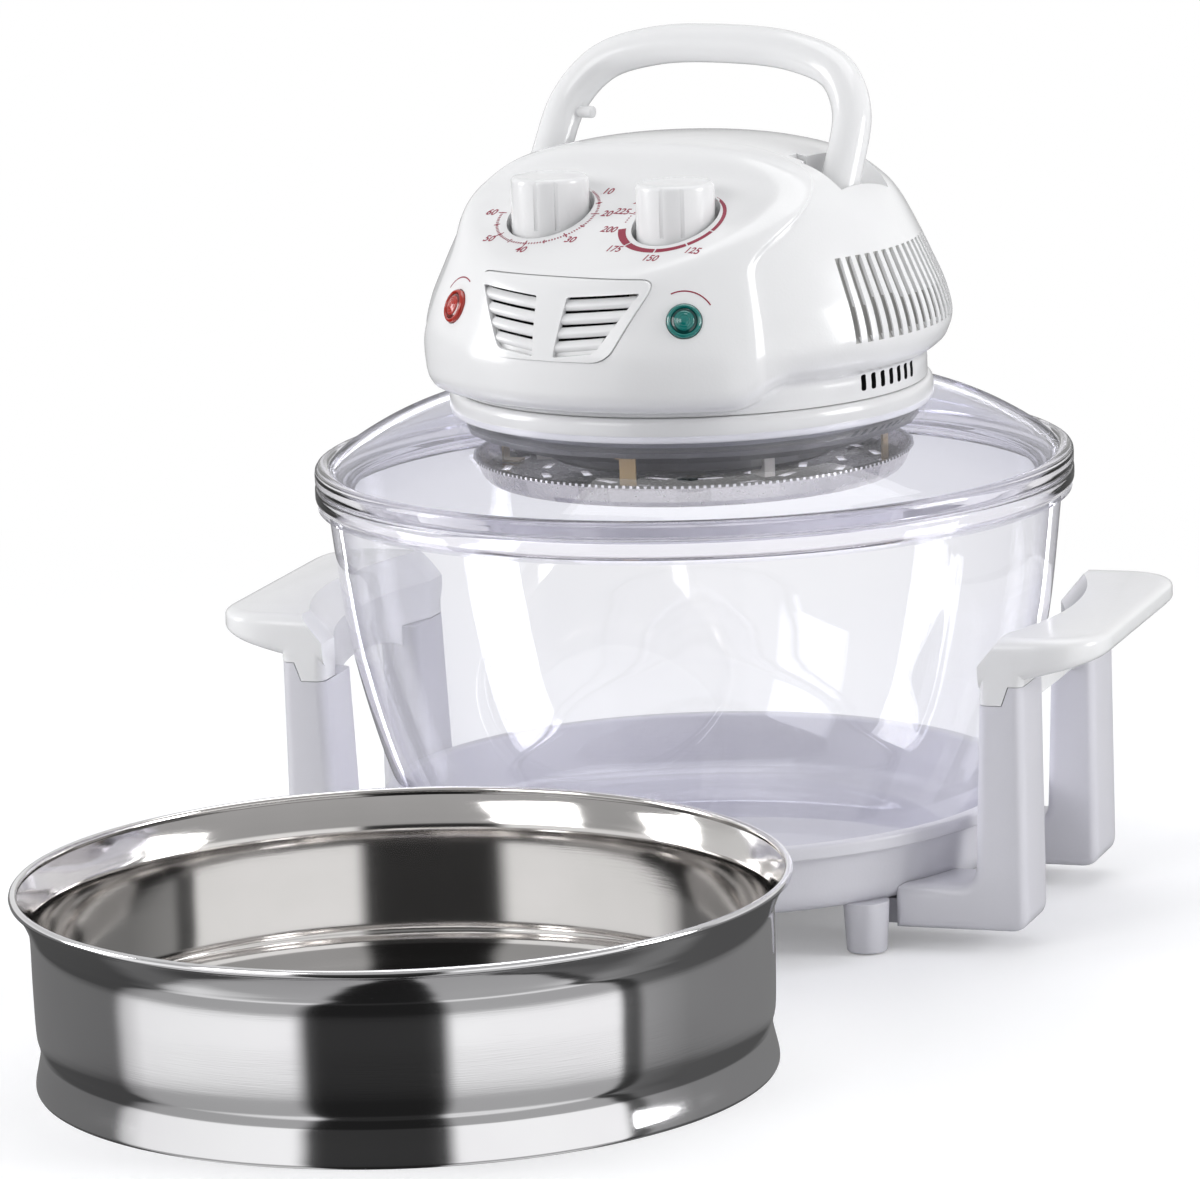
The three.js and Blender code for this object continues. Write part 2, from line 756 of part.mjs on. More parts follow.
// Heating tube: a ring left open at the back, where both ends enter one ceramic block.
function heaterTube() {
  const steps = 32;
  const half = heaterOpenAngle / 2;
  const sweep = 360 - heaterOpenAngle;
  const points = rangeOf(steps + 1)
    .map((i) => onCircle(heaterRadius, 90 + half + (sweep * i) / steps, heaterHeight));
  const section = new THREE.Shape().absarc(0, 0, heaterTubeRadius, 0, 2 * PI);
  return solid(new THREE.ExtrudeGeometry(section, {
    steps, bevelEnabled: false, extrudePath: new THREE.CatmullRomCurve3(points), curveSegments: 3,
  }));
}

function heaterHolder(angle, length, clearance) {
  const half = heaterTubeRadius + clearance + holderWall;
  const top = reflectorUnderside - seatGap;
  const body = block([-half, -length / 2, heaterHeight - half], [half, length / 2, top]);
  const bore = new THREE.CylinderGeometry(heaterTubeRadius + clearance, heaterTubeRadius + clearance,
    length + cutOverrun, coarseSegments / 2);
  const holder = cut(solid(body), solid(bore.translate(0, 0, heaterHeight)));
  return solid(geometryOf(holder).translate(heaterRadius, 0, 0).rotateZ(radians(angle)));
}

// Guard tray: a shallow pan with rings of oblong slots, hung below the heater.
const trayTop = trayBottom + trayHeight;
function guardTray() {
  const outer = [
    [0, trayBottom],
    [trayFloorRadius, trayBottom],
    [lerp(trayFloorRadius, trayRimRadius - trayBead, 0.5), trayBottom + trayHeight / 4],
    [trayRimRadius - trayBead, trayTop - trayBead],
  ];
  const inner = offsetOutline(outer, -trayWall).reverse();
  inner[inner.length - 1] = [0, trayBottom + trayWall];
  const bead = [
    [trayRimRadius, trayTop - trayBead],
    [trayRimRadius, trayTop],
    [trayRimRadius - 2 * trayBead, trayTop],
  ];
  const pan = solid(revolved([...outer, ...bead, ...inner]));
  const slots = [];
  for (let radius = trayFirstRow; radius < trayFloorRadius - traySlotWidth; radius += trayRowPitch) {
    const count = floor((2 * PI * radius) / (traySlotLength + trayRowPitch * traySlotGapShare));
    for (const i of rangeOf(count)) {
      slots.push(solid(block(
        [radius - traySlotWidth / 2, -traySlotLength / 2, trayBottom - cutOverrun],
        [radius + traySlotWidth / 2, traySlotLength / 2, trayTop],
      ).rotateZ((i * 2 * PI) / count)));
    }
  }
  return cut(pan, ...slots);
}

// Brass strip: a tab under the clamp ring, a drop beside the reflector and a foot on the tray's floor.
function trayStrip(angle) {
  const outer = trayFloorRadius - stripInset / 2;
  const inner = outer - stripThickness;
  const top = clampTop - clampThickness - seatGap;
  const foot = trayBottom + trayWall + seatGap;
  const profile = shapeOf([
    [inner - stripFoot, foot], [outer, foot], [outer, top - stripThickness],
    [outer + stripInset, top - stripThickness], [outer + stripInset, top], [inner, top],
    [inner, foot + stripThickness], [inner - stripFoot, foot + stripThickness],
  ]);
  return slab(profile, 0, stripWidth).rotateX(PI / 2).translate(0, stripWidth / 2, 0).rotateZ(radians(angle));
}

// Outline of the cover in front and at the sides, from its neck to its top,
// as shares of the cover's radius and height.
const frontProfileShares = [
  [0.869, 0], [0.886, 0.014], [0.958, 0.039], [0.992, 0.081], [1, 0.136], [0.994, 0.248],
  [0.962, 0.359], [0.919, 0.471], [0.864, 0.601], [0.805, 0.721], [0.746, 0.796],
  [0.644, 0.876], [0.508, 0.926], [0.356, 0.955], [0.17, 0.968], [0, 0.971],
];
const sideProfileShares = [
  [0.869, 0], [0.869, 0.06], [0.875, 0.1], [0.92, 0.13], [0.962, 0.17], [0.984, 0.248],
  ...frontProfileShares.slice(6),
];

// Height of a point over a plane that falls to the front through a given distance and drop.
function aboveSlope(point, slope, distance, drop) {
  return (point.z - coverTop + drop) * cos(radians(slope)) - (point.y + distance) * sin(radians(slope));
}

// Moves a point of the cover down to the control panel, or to the soft step behind the panel.
function pressPanel(point, inset) {
  const overPanel = aboveSlope(point, panelSlope, knobDistance, panelDrop) + inset;
  const overStep = aboveSlope(point, panelStepSlope, panelStepDistance, panelStepDrop) + inset;
  const share = smoothstep(overStep - overPanel, -panelBlend, panelBlend);
  const slope = radians(lerp(panelStepSlope, panelSlope, share));
  const above = lerp(overStep, overPanel, share);
  if (point.y > 0 || above < -panelBlend) return;
  const shift = above > panelBlend ? above : (above + panelBlend) ** 2 / (4 * panelBlend);
  point.y += shift * sin(slope);
  point.z -= shift * cos(slope);
}

// Half the angle that the front hood spans at a height of the cover.
function hoodEdgeAt(rise) {
  return lerp(hoodAngle, hoodTopAngle, smoothstep(rise, ...hoodWidenShares));
}

// A point of the cover, at an angle from its front and on a row of its profile.
function coverPoint(angle, row, inset) {
  const sideways = smoothstep(abs(angle), hoodAngle - hoodFadeBefore, hoodAngle + hoodFadeAfter);
  const [frontRadius, frontRise] = frontProfileShares[row];
  const [sideRadius, sideRise] = sideProfileShares[row];
  const rise = lerp(frontRise, sideRise, sideways);
  const [stepLow, stepFull, stepFade, stepHigh] = hoodStepShares;
  const step = hoodStep * smoothstep(rise, stepLow, stepFull) * (1 - smoothstep(rise, stepFade, stepHigh));
  const shrink = abs(angle) > hoodEdgeAt(rise) + hoodEdgeAngle ? step : 0;
  const radius = max(lerp(frontRadius, sideRadius, sideways) * coverRadius - shrink - inset, 0);
  const point = new THREE.Vector3(
    radius * sin(radians(angle)),
    -radius * cos(radians(angle)),
    coverBottom + rise * (coverHeight - inset),
  );
  pressPanel(point, inset);
  return point;
}

// The closed body inside the cover's outer face, or inside a face set in from it.
function coverBody(inset = 0, extra = 0, rowStep = 1) {
  const rows = frontProfileShares.length;
  const halfAngles = (rise) => {
    const hood = hoodEdgeAt(rise);
    const front = rangeOf(hoodColumns + 1).map((i) => (hood * i) / hoodColumns);
    const side = rangeOf(sideColumns + 1).map((i) => lerp(hood + hoodStepAngle, 180, i / sideColumns));
    return [...front, ...side];
  };
  const ring = (row) => {
    const half = halfAngles(frontProfileShares[row][1]);
    const other = half.slice(1, -1).reverse().map((angle) => -angle);
    return [...half, ...other].map((angle) => coverPoint(angle, row, inset));
  };
  const rings = rangeOf(rows - 1).filter((row) => row % rowStep === 0).map(ring);
  if (extra > 0) rings.unshift(rings[0].map((point) => point.clone().setZ(coverBottom - extra)));
  const count = rings[0].length;
  const vertices = rings.flat().flatMap((point) => point.toArray());
  const top = coverPoint(0, rows - 1, inset);
  vertices.push(...top.toArray(), 0, 0, coverBottom - extra);
  const apex = rings.length * count;
  const indices = [];
  rings.forEach((points, row) => {
    for (const i of rangeOf(count)) {
      const next = (i + 1) % count;
      const here = row * count;
      if (row === rings.length - 1) {
        indices.push(here + i, here + next, apex);
      } else {
        indices.push(here + i, here + next, here + count + next);
        indices.push(here + i, here + count + next, here + count + i);
      }
      if (row === 0) indices.push(next, i, apex + 1);
    }
  });
  const geometry = new THREE.BufferGeometry();
  geometry.setAttribute('position', new THREE.Float32BufferAttribute(vertices, 3));
  geometry.setIndex(indices);
  return solid(geometry);
}

// Radius of the cover at a height, in front or at the side.
function coverRadiusAt(height, shares) {
  const rise = (height - coverBottom) / coverHeight;
  const above = shares.findIndex((share) => share[1] >= rise && share[1] > neckShare);
  const [r0, h0] = shares[above - 1];
  const [r1, h1] = shares[above];
  return lerp(r0, r1, (rise - h0) / (h1 - h0)) * coverRadius;
}

// Places a body made along +Z at a point of the cover, square to its face.
function lampMatrix(side) {
  const height = coverBottom + lampHeightInCover;
  const radius = coverRadiusAt(height, frontProfileShares);
  const span = lampDepth / 2;
  const slope = (coverRadiusAt(height - span, frontProfileShares)
    - coverRadiusAt(height + span, frontProfileShares)) / (2 * span);
  const across = (side * lampSpacing) / 2;
  const outward = new THREE.Vector3(across, -sqrt(radius ** 2 - across ** 2), 0);
  const normal = outward.clone().normalize().setZ(slope).normalize();
  const turn = new THREE.Quaternion().setFromUnitVectors(new THREE.Vector3(0, 0, 1), normal);
  return new THREE.Matrix4().compose(outward.setZ(height), turn, new THREE.Vector3(1, 1, 1));
}

function lampLens(side) {
  const flangeBack = -coverWall - 3 * runningGap - lampFlange;
  return solid(revolved([
    [0, flangeBack],
    [lensRadius + lampFlange, flangeBack],
    [lensRadius + lampFlange, flangeBack + lampFlange - slideGap],
    [lensRadius, flangeBack + lampFlange - slideGap],
    ...lensCrownShares.map(([r, h]) => [r * lensRadius, h * lensProud]),
  ], fineSegments).applyMatrix4(lampMatrix(side)));
}

function lampHolder(side) {
  const front = -coverWall - 3 * runningGap - seatGap - lampFlange;
  return solid(roundBar(lensRadius - lampFlange, front - lampDepth, front).applyMatrix4(lampMatrix(side)));
}

// Handle channels
const handlePivotX = handleSpan / 2;
const channelHalf = handleTubeWidth / 2 + channelGap;
const channelDepth = handleTubeDepth / 2 + channelGap;

function alongX(radius, from, to, segments = fineSegments) {
  return new THREE.CylinderGeometry(radius, radius, to - from, segments)
    .rotateZ(PI / 2).translate((from + to) / 2, 0, 0);
}

function channelTool(side, margin = 0) {
  const half = channelHalf + margin;
  const deep = channelDepth + margin;
  const inner = half + channelInnerRoom;
  const swing = block([side > 0 ? -inner : -half, channelDepth / 2, -deep],
    [side > 0 ? half : inner, coverRadius, coverRadius]).rotateX(radians(foldedElevation));
  const upright = block([-half, -deep, -deep], [half, deep, coverRadius]);
  const rooms = side > 0 ? [swing, upright] : [swing, upright, pegRoom(margin)];
  return joined(...rooms.map((room) => solid(room.translate(side * handlePivotX, 0, handlePivotHeight))));
}

// Room for the peg on the handle's left leg when the handle is folded back.
function pegRoom(margin) {
  const reach = handleTubeWidth / 2 + pegLength + channelGap + margin;
  const around = pegRadius + channelGap + margin;
  return block([0, pegRise - around, -around], [reach, pegRise + around, coverRadius])
    .rotateX(radians(foldedElevation));
}

function pinHole(side) {
  const reach = channelHalf + handlePinGrip + seatGap;
  return solid(alongX(handlePinRadius + seatGap, -reach, reach)
    .translate(side * handlePivotX, 0, handlePivotHeight));
}

// Dial wells
const knobTop = coverTop - knobTopDrop;
const knobBase = knobTop - knobHeight;
const wellFloorTop = knobBase - runningGap;
const wellFloorBottom = wellFloorTop - dialFloor;
const wellRadius = knobRadius + dialWellGap;

function atDial(geometry, side) {
  return solid(geometry.translate((side * knobSpacing) / 2, -knobDistance, 0));
}

// Front grille outline, seen from the front
function grilleShape(margin) {
  const top = coverTop - grilleTopDrop - margin;
  const bottom = coverTop - grilleTopDrop - grilleHeight + margin;
  const topHalf = grilleTopHalfWidth - margin;
  const bottomHalf = grilleBottomHalfWidth - margin;
  return roundedShape([
    [-bottomHalf, bottom],
    [bottomHalf, bottom],
    [topHalf, top],
    [-topHalf, top],
  ], grilleCorner);
}

function throughFront(shape) {
  return solid(slab(shape, 0, coverRadius + cutOverrun).rotateX(PI / 2));
}

function louvres() {
  const top = coverTop - grilleTopDrop - louvreMargin - louvreHeight;
  return rangeOf(louvreRows).flatMap((row) => {
    const share = row / (louvreRows - 1);
    const height = top - row * louvrePitch;
    const start = lerp(grilleBarTop, grilleBarBottom, share) / 2;
    const end = lerp(grilleTopHalfWidth, grilleBottomHalfWidth, share) - louvreMargin;
    return [-1, 1].map((side) => throughFront(shapeOf([
      [side * start, height - louvreRun / 2],
      [side * end, height],
      [side * end, height + louvreHeight],
      [side * start, height + louvreHeight - louvreRun / 2],
    ])));
  });
}

function frontGrille() {
  const skin = cut(coverBody(-grilleProud), coverBody(grilleThickness - grilleProud, cutOverrun));
  return cut(skin.intersect(throughFront(grilleShape(0))), ...louvres());
}

// A groove that follows the side of the cover, open outward.
function ribGroove(angle) {
  const low = coverTop - ribBottomDrop;
  const high = coverTop - ribTopDrop;
  const edge = ribEndShares.map((share) => {
    const height = lerp(low, high, share);
    const depth = share > 0 && share < 1 ? ribDepth : -seatGap;
    return [coverRadiusAt(height, sideProfileShares) - hoodStep - depth, height];
  });
  const profile = shapeOf([...edge, [edge.at(-1)[0] + cutOverrun, high], [edge[0][0] + cutOverrun, low]]);
  return solid(slab(profile, 0, ribWidth).rotateX(PI / 2)
    .translate(0, ribWidth / 2, 0).rotateZ(radians(angle)));
}

function neckVent(angle) {
  const bottom = coverBottom + ventRise;
  const top = bottom + ventHeight;
  const slot = block([coverRadius / 2, -ventWidth / 2, bottom], [coverRadius, ventWidth / 2, top]);
  return solid(slot.rotateZ(radians(angle)));
}

function headCover() {
  const outer = coverBody();
  let body = cut(outer, coverBody(coverWall, cutOverrun, innerRowStep));
  for (const side of [-1, 1]) {
    const well = atDial(roundBar(wellRadius + dialWellWall, wellFloorBottom, coverTop, coarseSegments), side);
    body = joined(body, well.intersect(outer), channelTool(side, coverWall).intersect(outer));
  }
  for (const [sx, sy] of corners) {
    const at = [sx * coverPostCircle * cos(PI / 4), sy * coverPostCircle * sin(PI / 4), 0];
    const upper = roundBar(coverPostRadius, coverBottom, coverTop).translate(...at);
    const lower = roundBar(coverPostRadius, platformTop + seatGap, coverBottom + cutOverrun).translate(...at);
    body = joined(body, solid(upper).intersect(outer), solid(lower));
  }
  for (const side of [-1, 1]) {
    const well = atDial(roundBar(wellRadius, wellFloorTop, coverTop + cutOverrun, coarseSegments), side);
    const spindleHole = atDial(roundBar(spindleRadius + slideGap, 0, coverTop), side);
    const lampHole = roundBar(lensRadius + seatGap, -lampDepth, lampDepth).applyMatrix4(lampMatrix(side));
    body = cut(body, well, spindleHole, solid(lampHole), channelTool(side), pinHole(side));
    const facing = side > 0 ? 0 : 180;
    const grooves = anglesAround(ribCount, ribPitchAngle, ribMiddleAngle)
      .map((angle) => ribGroove(facing + side * angle));
    const slots = anglesAround(ventCount, ventPitchAngle, ventMiddleAngle)
      .map((angle) => neckVent(facing + side * angle));
    body = cut(body, ...grooves, ...slots);
  }
  const behindGrille = coverBody(grilleThickness - grilleProud + seatGap);
  const grilleBed = cut(throughFront(grilleShape(-seatGap)), behindGrille);
  const grilleWindow = throughFront(grilleShape(louvreMargin));
  const latchX = handlePivotX - channelHalf - latchSlotWidth / 2;
  const latchSlot = solid(block(
    [latchX - latchSlotWidth, -latchSlotLength, handlePivotHeight],
    [latchX + latchSlotWidth / 2, 0, coverTop],
  ));
  const glandHole = solid(roundBar(glandRadius + seatGap, 0, coverRadius).rotateX(-PI / 2)
    .translate(0, 0, coverBottom + glandRise));
  return cut(body, grilleBed, grilleWindow, latchSlot, glandHole);
}

// Knob with a raised grip bar marked out by four grooves
function knob(side) {
  const body = revolved([
    [0, knobBase],
    [knobRadius - knobEdgeRound / 2, knobBase],
    [knobRadius, knobBase + knobEdgeRound / 2],
    [knobRadius - knobEdgeRound / 4, knobTop - knobEdgeRound],
    [knobRadius - knobEdgeRound, knobTop],
    [0, knobTop],
  ], coarseSegments);
  const bore = roundBar(spindleRadius + seatGap, 0, knobBase + spindleInKnob + seatGap);
  const grooves = corners.map(([sx, sy]) => {
    const middle = (sx * knobBarWidth) / 2;
    const face = sqrt(knobRadius ** 2 - middle ** 2);
    const reach = [sy * (face - knobGroove), sy * (knobRadius + cutOverrun)].sort((a, b) => a - b);
    return solid(block([middle - knobGroove / 2, reach[0], knobTop - knobGrooveLength],
      [middle + knobGroove / 2, reach[1], knobTop + cutOverrun]));
  });
  const turned = geometryOf(cut(solid(body), solid(bore), ...grooves)).rotateZ(radians(knobTurn));
  return atDial(turned, side);
}

function spindle(side) {
  return atDial(roundBar(spindleRadius, wellFloorBottom - spindleInTimer, knobBase + spindleInKnob), side);
}

function spindleSocket(side) {
  const top = wellFloorBottom - seatGap;
  return atDial(roundBar(spindleRadius + seatGap, top - spindleInTimer, top + cutOverrun), side);
}

function timer() {
  const top = wellFloorBottom - seatGap;
  return cut(atDial(roundBar(timerRadius, top - timerHeight, top, coarseSegments), -1), spindleSocket(-1));
}

function thermostat() {
  const top = wellFloorBottom - seatGap;
  const half = thermostatWidth / 2;
  return cut(atDial(block([-half, -half, top - thermostatHeight], [half, half, top]), 1), spindleSocket(1));
}

// Carry handle: a bail in the plane of its two legs, leaned back about the pivots
function carryHandle() {
  const half = handleShares.map(([u, v]) => [u * handlePivotX, v * handleRise]);
  const other = half.slice(0, -1).reverse().map(([u, v]) => [-u, v]);
  const route = new THREE.CatmullRomCurve3([...half, ...other].map(([u, v]) => new THREE.Vector3(u, 0, v)));
  const section = new THREE.Shape().absellipse(0, 0, handleTubeDepth / 2, handleTubeWidth / 2, 0, 2 * PI);
  const tube = new THREE.ExtrudeGeometry(section, {
    steps: handleSteps, bevelEnabled: false, extrudePath: route, curveSegments: handleSectionSegments,
  });
  let body = solid(tube);
  for (const side of [-1, 1]) {
    const eye = alongX(handleTubeDepth / 2, -handleTubeWidth / 2, handleTubeWidth / 2);
    const bore = alongX(handlePinRadius + seatGap, -handleTubeWidth, handleTubeWidth);
    const leg = [eye, bore].map((geometry) => solid(geometry.translate(side * handlePivotX, 0, 0)));
    body = cut(joined(body, leg[0]), leg[1]);
  }
  const legFace = handlePivotX - handleTubeWidth / 2;
  const peg = alongX(pegRadius, -legFace - handleTubeWidth / 4, pegLength - legFace);
  body = joined(body, solid(peg.translate(0, 0, pegRise)));
  return solid(geometryOf(body).rotateX(-radians(handleLean)).translate(0, 0, handlePivotHeight));
}

function handlePin(side) {
  const reach = channelHalf + handlePinGrip;
  return alongX(handlePinRadius, -reach, reach).translate(side * handlePivotX, 0, handlePivotHeight);
}

// Motor, shaft and fans
const statorBottom = platformTop + statorRise;
const statorTop = statorBottom + statorHeight;
const coolingFanBottom = statorTop + coolingFanRise;
const heatFanTop = reflectorUnderside - heatFanDrop;
const heatFanBottom = heatFanTop - fanHubHeight;
const shaftBottom = heatFanBottom - nutHeight - shaftEnd;
const shaftTop = coolingFanBottom + fanHubHeight + shaftEnd;
const rotorBore = rotorRadius + slideGap;
const limbFront = statorDepth / 2 + coilRadius / 2;
const limbBack = limbFront + coilRadius;

function motorStator() {
  const half = statorWidth / 2;
  const windowHalf = half - coilRadius;
  const core = block([-half, -statorDepth / 2, statorBottom], [half, limbBack, statorTop]);
  const window = block([-windowHalf, rotorBore + coilRadius / 3, 0], [windowHalf, limbFront, coverTop]);
  const bore = roundBar(rotorBore, 0, coverTop, coarseSegments);
  return cut(solid(core), solid(window), solid(bore));
}

function motorCoil() {
  const half = coilWidth / 2;
  const build = coilRadius / 2;
  const winding = roundedShape([
    [limbFront - build, statorBottom - build], [limbBack + build, statorBottom - build],
    [limbBack + build, statorTop + build], [limbFront - build, statorTop + build],
  ], build);
  const body = slab(winding, 0, coilWidth).rotateX(PI / 2).rotateZ(PI / 2).translate(-half, 0, 0);
  const limb = block([-coilWidth, limbFront - seatGap, statorBottom - seatGap],
    [coilWidth, limbBack + seatGap, statorTop + seatGap]);
  return cut(solid(body), solid(limb));
}

function motorBracket() {
  const inner = statorWidth / 2 + seatGap;
  const outer = inner + bracketWall;
  const half = statorDepth / 2;
  const foot = platformTop + seatGap;
  const base = block([-outer, -half, foot], [outer, half, foot + bracketWall]);
  const walls = [-1, 1].map((side) => solid(block(
    [side > 0 ? inner : -outer, -half, foot],
    [side > 0 ? outer : -inner, half, statorTop],
  )));
  return cut(joined(solid(base), ...walls), solid(roundBar(shaftHoleRadius, 0, statorBottom)));
}

function motorShaft() {
  const rotorBottom = statorBottom + (statorHeight - rotorHeight) / 2;
  return revolved([
    [0, shaftBottom], [shaftRadius, shaftBottom], [shaftRadius, rotorBottom], [rotorRadius, rotorBottom],
    [rotorRadius, rotorBottom + rotorHeight], [shaftRadius, rotorBottom + rotorHeight],
    [shaftRadius, shaftTop], [0, shaftTop],
  ], fineSegments);
}

function fan(radius, bottom, blades) {
  const hub = solid(roundBar(fanHubRadius, bottom, bottom + fanHubHeight));
  const bladeHeight = fanHubHeight * fanBladeShare;
  const wings = rangeOf(blades).map((i) => solid(
    block([fanHubRadius - fanBladeThickness, -fanBladeThickness / 2, -bladeHeight / 2],
      [radius, fanBladeThickness / 2, bladeHeight / 2])
      .rotateX(radians(fanBladePitch))
      .translate(0, 0, bottom + fanHubHeight / 2)
      .rotateZ((i * 2 * PI) / blades),
  ));
  const bore = solid(roundBar(shaftRadius + seatGap, 0, coverTop));
  return cut(joined(hub, ...wings), bore);
}

function shaftNut() {
  const top = heatFanBottom - seatGap;
  const bore = roundBar(shaftRadius + seatGap, 0, coverTop);
  return cut(solid(roundBar(nutRadius, top - nutHeight, top, nutSides)), solid(bore));
}

function safetySwitch() {
  const top = handlePivotHeight - channelDepth - coverWall - seatGap;
  return block([-handlePivotX - switchWidth / 2, -switchLength / 2, top - switchHeight],
    [-handlePivotX + switchWidth / 2, switchLength / 2, top]);
}

function terminalBlock() {
  const bottom = platformTop + seatGap;
  return block([-terminalLength / 2, terminalDistance - terminalDepth / 2, bottom],
    [terminalLength / 2, terminalDistance + terminalDepth / 2, bottom + terminalHeight]);
}

// Cord gland through the back of the cover
function cordGland() {
  const wall = coverRadiusAt(coverBottom + glandRise, sideProfileShares) - hoodStep;
  const collarFront = wall - coverWall - 3 * runningGap;
  const flangeBack = wall + runningGap / 2;
  const bush = revolved([
    [glandBore, flangeBack + glandFlange - glandLength],
    [glandRadius + glandCollar, flangeBack + glandFlange - glandLength],
    [glandRadius + glandCollar, collarFront],
    [glandRadius, collarFront],
    [glandRadius, flangeBack],
    [glandRadius + glandCollar, flangeBack],
    [glandRadius + glandCollar, flangeBack + glandFlange],
    [glandBore, flangeBack + glandFlange],
  ], fineSegments);
  return bush.rotateX(-PI / 2).translate(0, 0, coverBottom + glandRise);
}

// Extension ring: thin polished sheet with a flared rim, a waist and a flared foot,
// as shares of its rim radius and height.
const ringOutlineShares = [
  [0.952, 0], [0.951, 0.04], [0.937, 0.19], [0.946, 0.28],
  [0.949, 0.78], [0.965, 0.87], [0.99, 0.94], [1, 0.975],
];
function extensionRing() {
  const outer = ringOutlineShares.map(([r, h]) => [r * ringRimRadius, h * ringHeight]);
  const inner = offsetOutline(outer, -ringWall).reverse();
  inner[inner.length - 1][1] = 0;
  return revolved([...outer, [ringRimRadius - ringWall, ringHeight], ...inner]);
}

const ringCentre = onCircle(bowlRadiusAt(ringHeight) + ringStandoff + ringRimRadius, ringDirectionAngle);
const setMiddleY = (rimRadius + ringCentre.y - ringRimRadius) / 2;

// Assembly
const sideNames = { '-1': 'left', 1: 'right' };
const endNames = { '-1': 'front', 1: 'rear' };

function cornerName(prefix, sx, sy) {
  return `${prefix}_${endNames[sy]}_${sideNames[sx]}`;
}

function holder() {
  const group = new THREE.Group();
  group.add(part('base_dish', baseDish(), materials.lilacPlastic));
  for (const [sx, sy] of corners) {
    group.add(
      part(cornerName('foot_pad', sx, sy), footPad(sx, sy), materials.rubber),
      part(cornerName('leg', sx, sy), leg(sx, sy), materials.lilacPlastic),
      part(cornerName('leg_screw', sx, sy), legScrew(sx, sy), materials.dullSteel),
    );
  }
  for (const sx of [-1, 1]) group.add(part(`grip_${sideNames[sx]}`, grip(sx), materials.whitePlastic));
  return group;
}

function lidHead() {
  const group = new THREE.Group();
  group.rotation.z = radians(headTurn);
  group.add(
    part('glass_lid', glassLid(), materials.glass),
    part('base_ring', baseRing(), materials.whitePlastic),
    part('lid_clamp_ring', clampRing(), materials.dullSteel),
    part('motor_platform', platform(), materials.dullSteel),
    part('heat_reflector', reflector(), materials.dullSteel),
    part('heater_tube', heaterTube(), materials.dullSteel),
    part('heater_terminal_block', heaterHolder(90, heaterEndBlockLength, runningGap), materials.ceramic),
    part('heater_holder_left', heaterHolder(210, holderLength, slideGap), materials.ceramic),
    part('heater_holder_right', heaterHolder(330, holderLength, slideGap), materials.ceramic),
    part('guard_tray', guardTray(), materials.polishedSteel),
    part('head_cover', headCover(), materials.whitePlastic),
    part('front_grille', frontGrille(), materials.whitePlastic),
    part('power_lens', lampLens(-1), materials.redLens),
    part('heat_lens', lampLens(1), materials.greenLens),
    part('power_lamp', lampHolder(-1), materials.blackPlastic),
    part('heat_lamp', lampHolder(1), materials.blackPlastic),
    part('timer', timer(), materials.blackPlastic),
    part('thermostat', thermostat(), materials.ceramic),
    part('timer_spindle', spindle(-1), materials.dullSteel),
    part('thermostat_spindle', spindle(1), materials.dullSteel),
    part('timer_knob', knob(-1), materials.whitePlastic),
    part('thermostat_knob', knob(1), materials.whitePlastic),
    part('carry_handle', carryHandle(), materials.whitePlastic),
    part('handle_pin_left', handlePin(-1), materials.dullSteel),
    part('handle_pin_right', handlePin(1), materials.dullSteel),
    part('motor_stator', motorStator(), materials.dullSteel),
    part('motor_coil', motorCoil(), materials.copper),
    part('motor_bracket', motorBracket(), materials.dullSteel),
    part('motor_shaft', motorShaft(), materials.dullSteel),
    part('cooling_fan', fan(coolingFanRadius, coolingFanBottom, coolingFanBlades), materials.blackPlastic),
    part('convection_fan', fan(heatFanRadius, heatFanBottom, heatFanBlades), materials.dullSteel),
    part('fan_nut', shaftNut(), materials.brass),
    part('safety_switch', safetySwitch(), materials.blackPlastic),
    part('terminal_block', terminalBlock(), materials.ceramic),
    part('cord_gland', cordGland(), materials.blackPlastic),
  );
  for (const i of rangeOf(4)) {
    group.add(part(`tray_strip_${i + 1}`, trayStrip(stripStartAngle + i * 90), materials.brass));
  }
  return group;
}

const oven = new THREE.Group();
oven.add(holder(), part('glass_bowl', glassBowl(), materials.glass), lidHead());
const ring = part('extension_ring', extensionRing(), materials.polishedSteel);
ring.position.copy(ringCentre);
const group = new THREE.Group();
group.add(oven, ring);
group.position.y = -setMiddleY;
group.updateMatrixWorld(true);

export default group;
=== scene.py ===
import bpy
import bmesh
import json
from math import cos, pi, radians, sin, sqrt, tan
from mathutils import Matrix, Vector
from mathutils.bvhtree import BVHTree

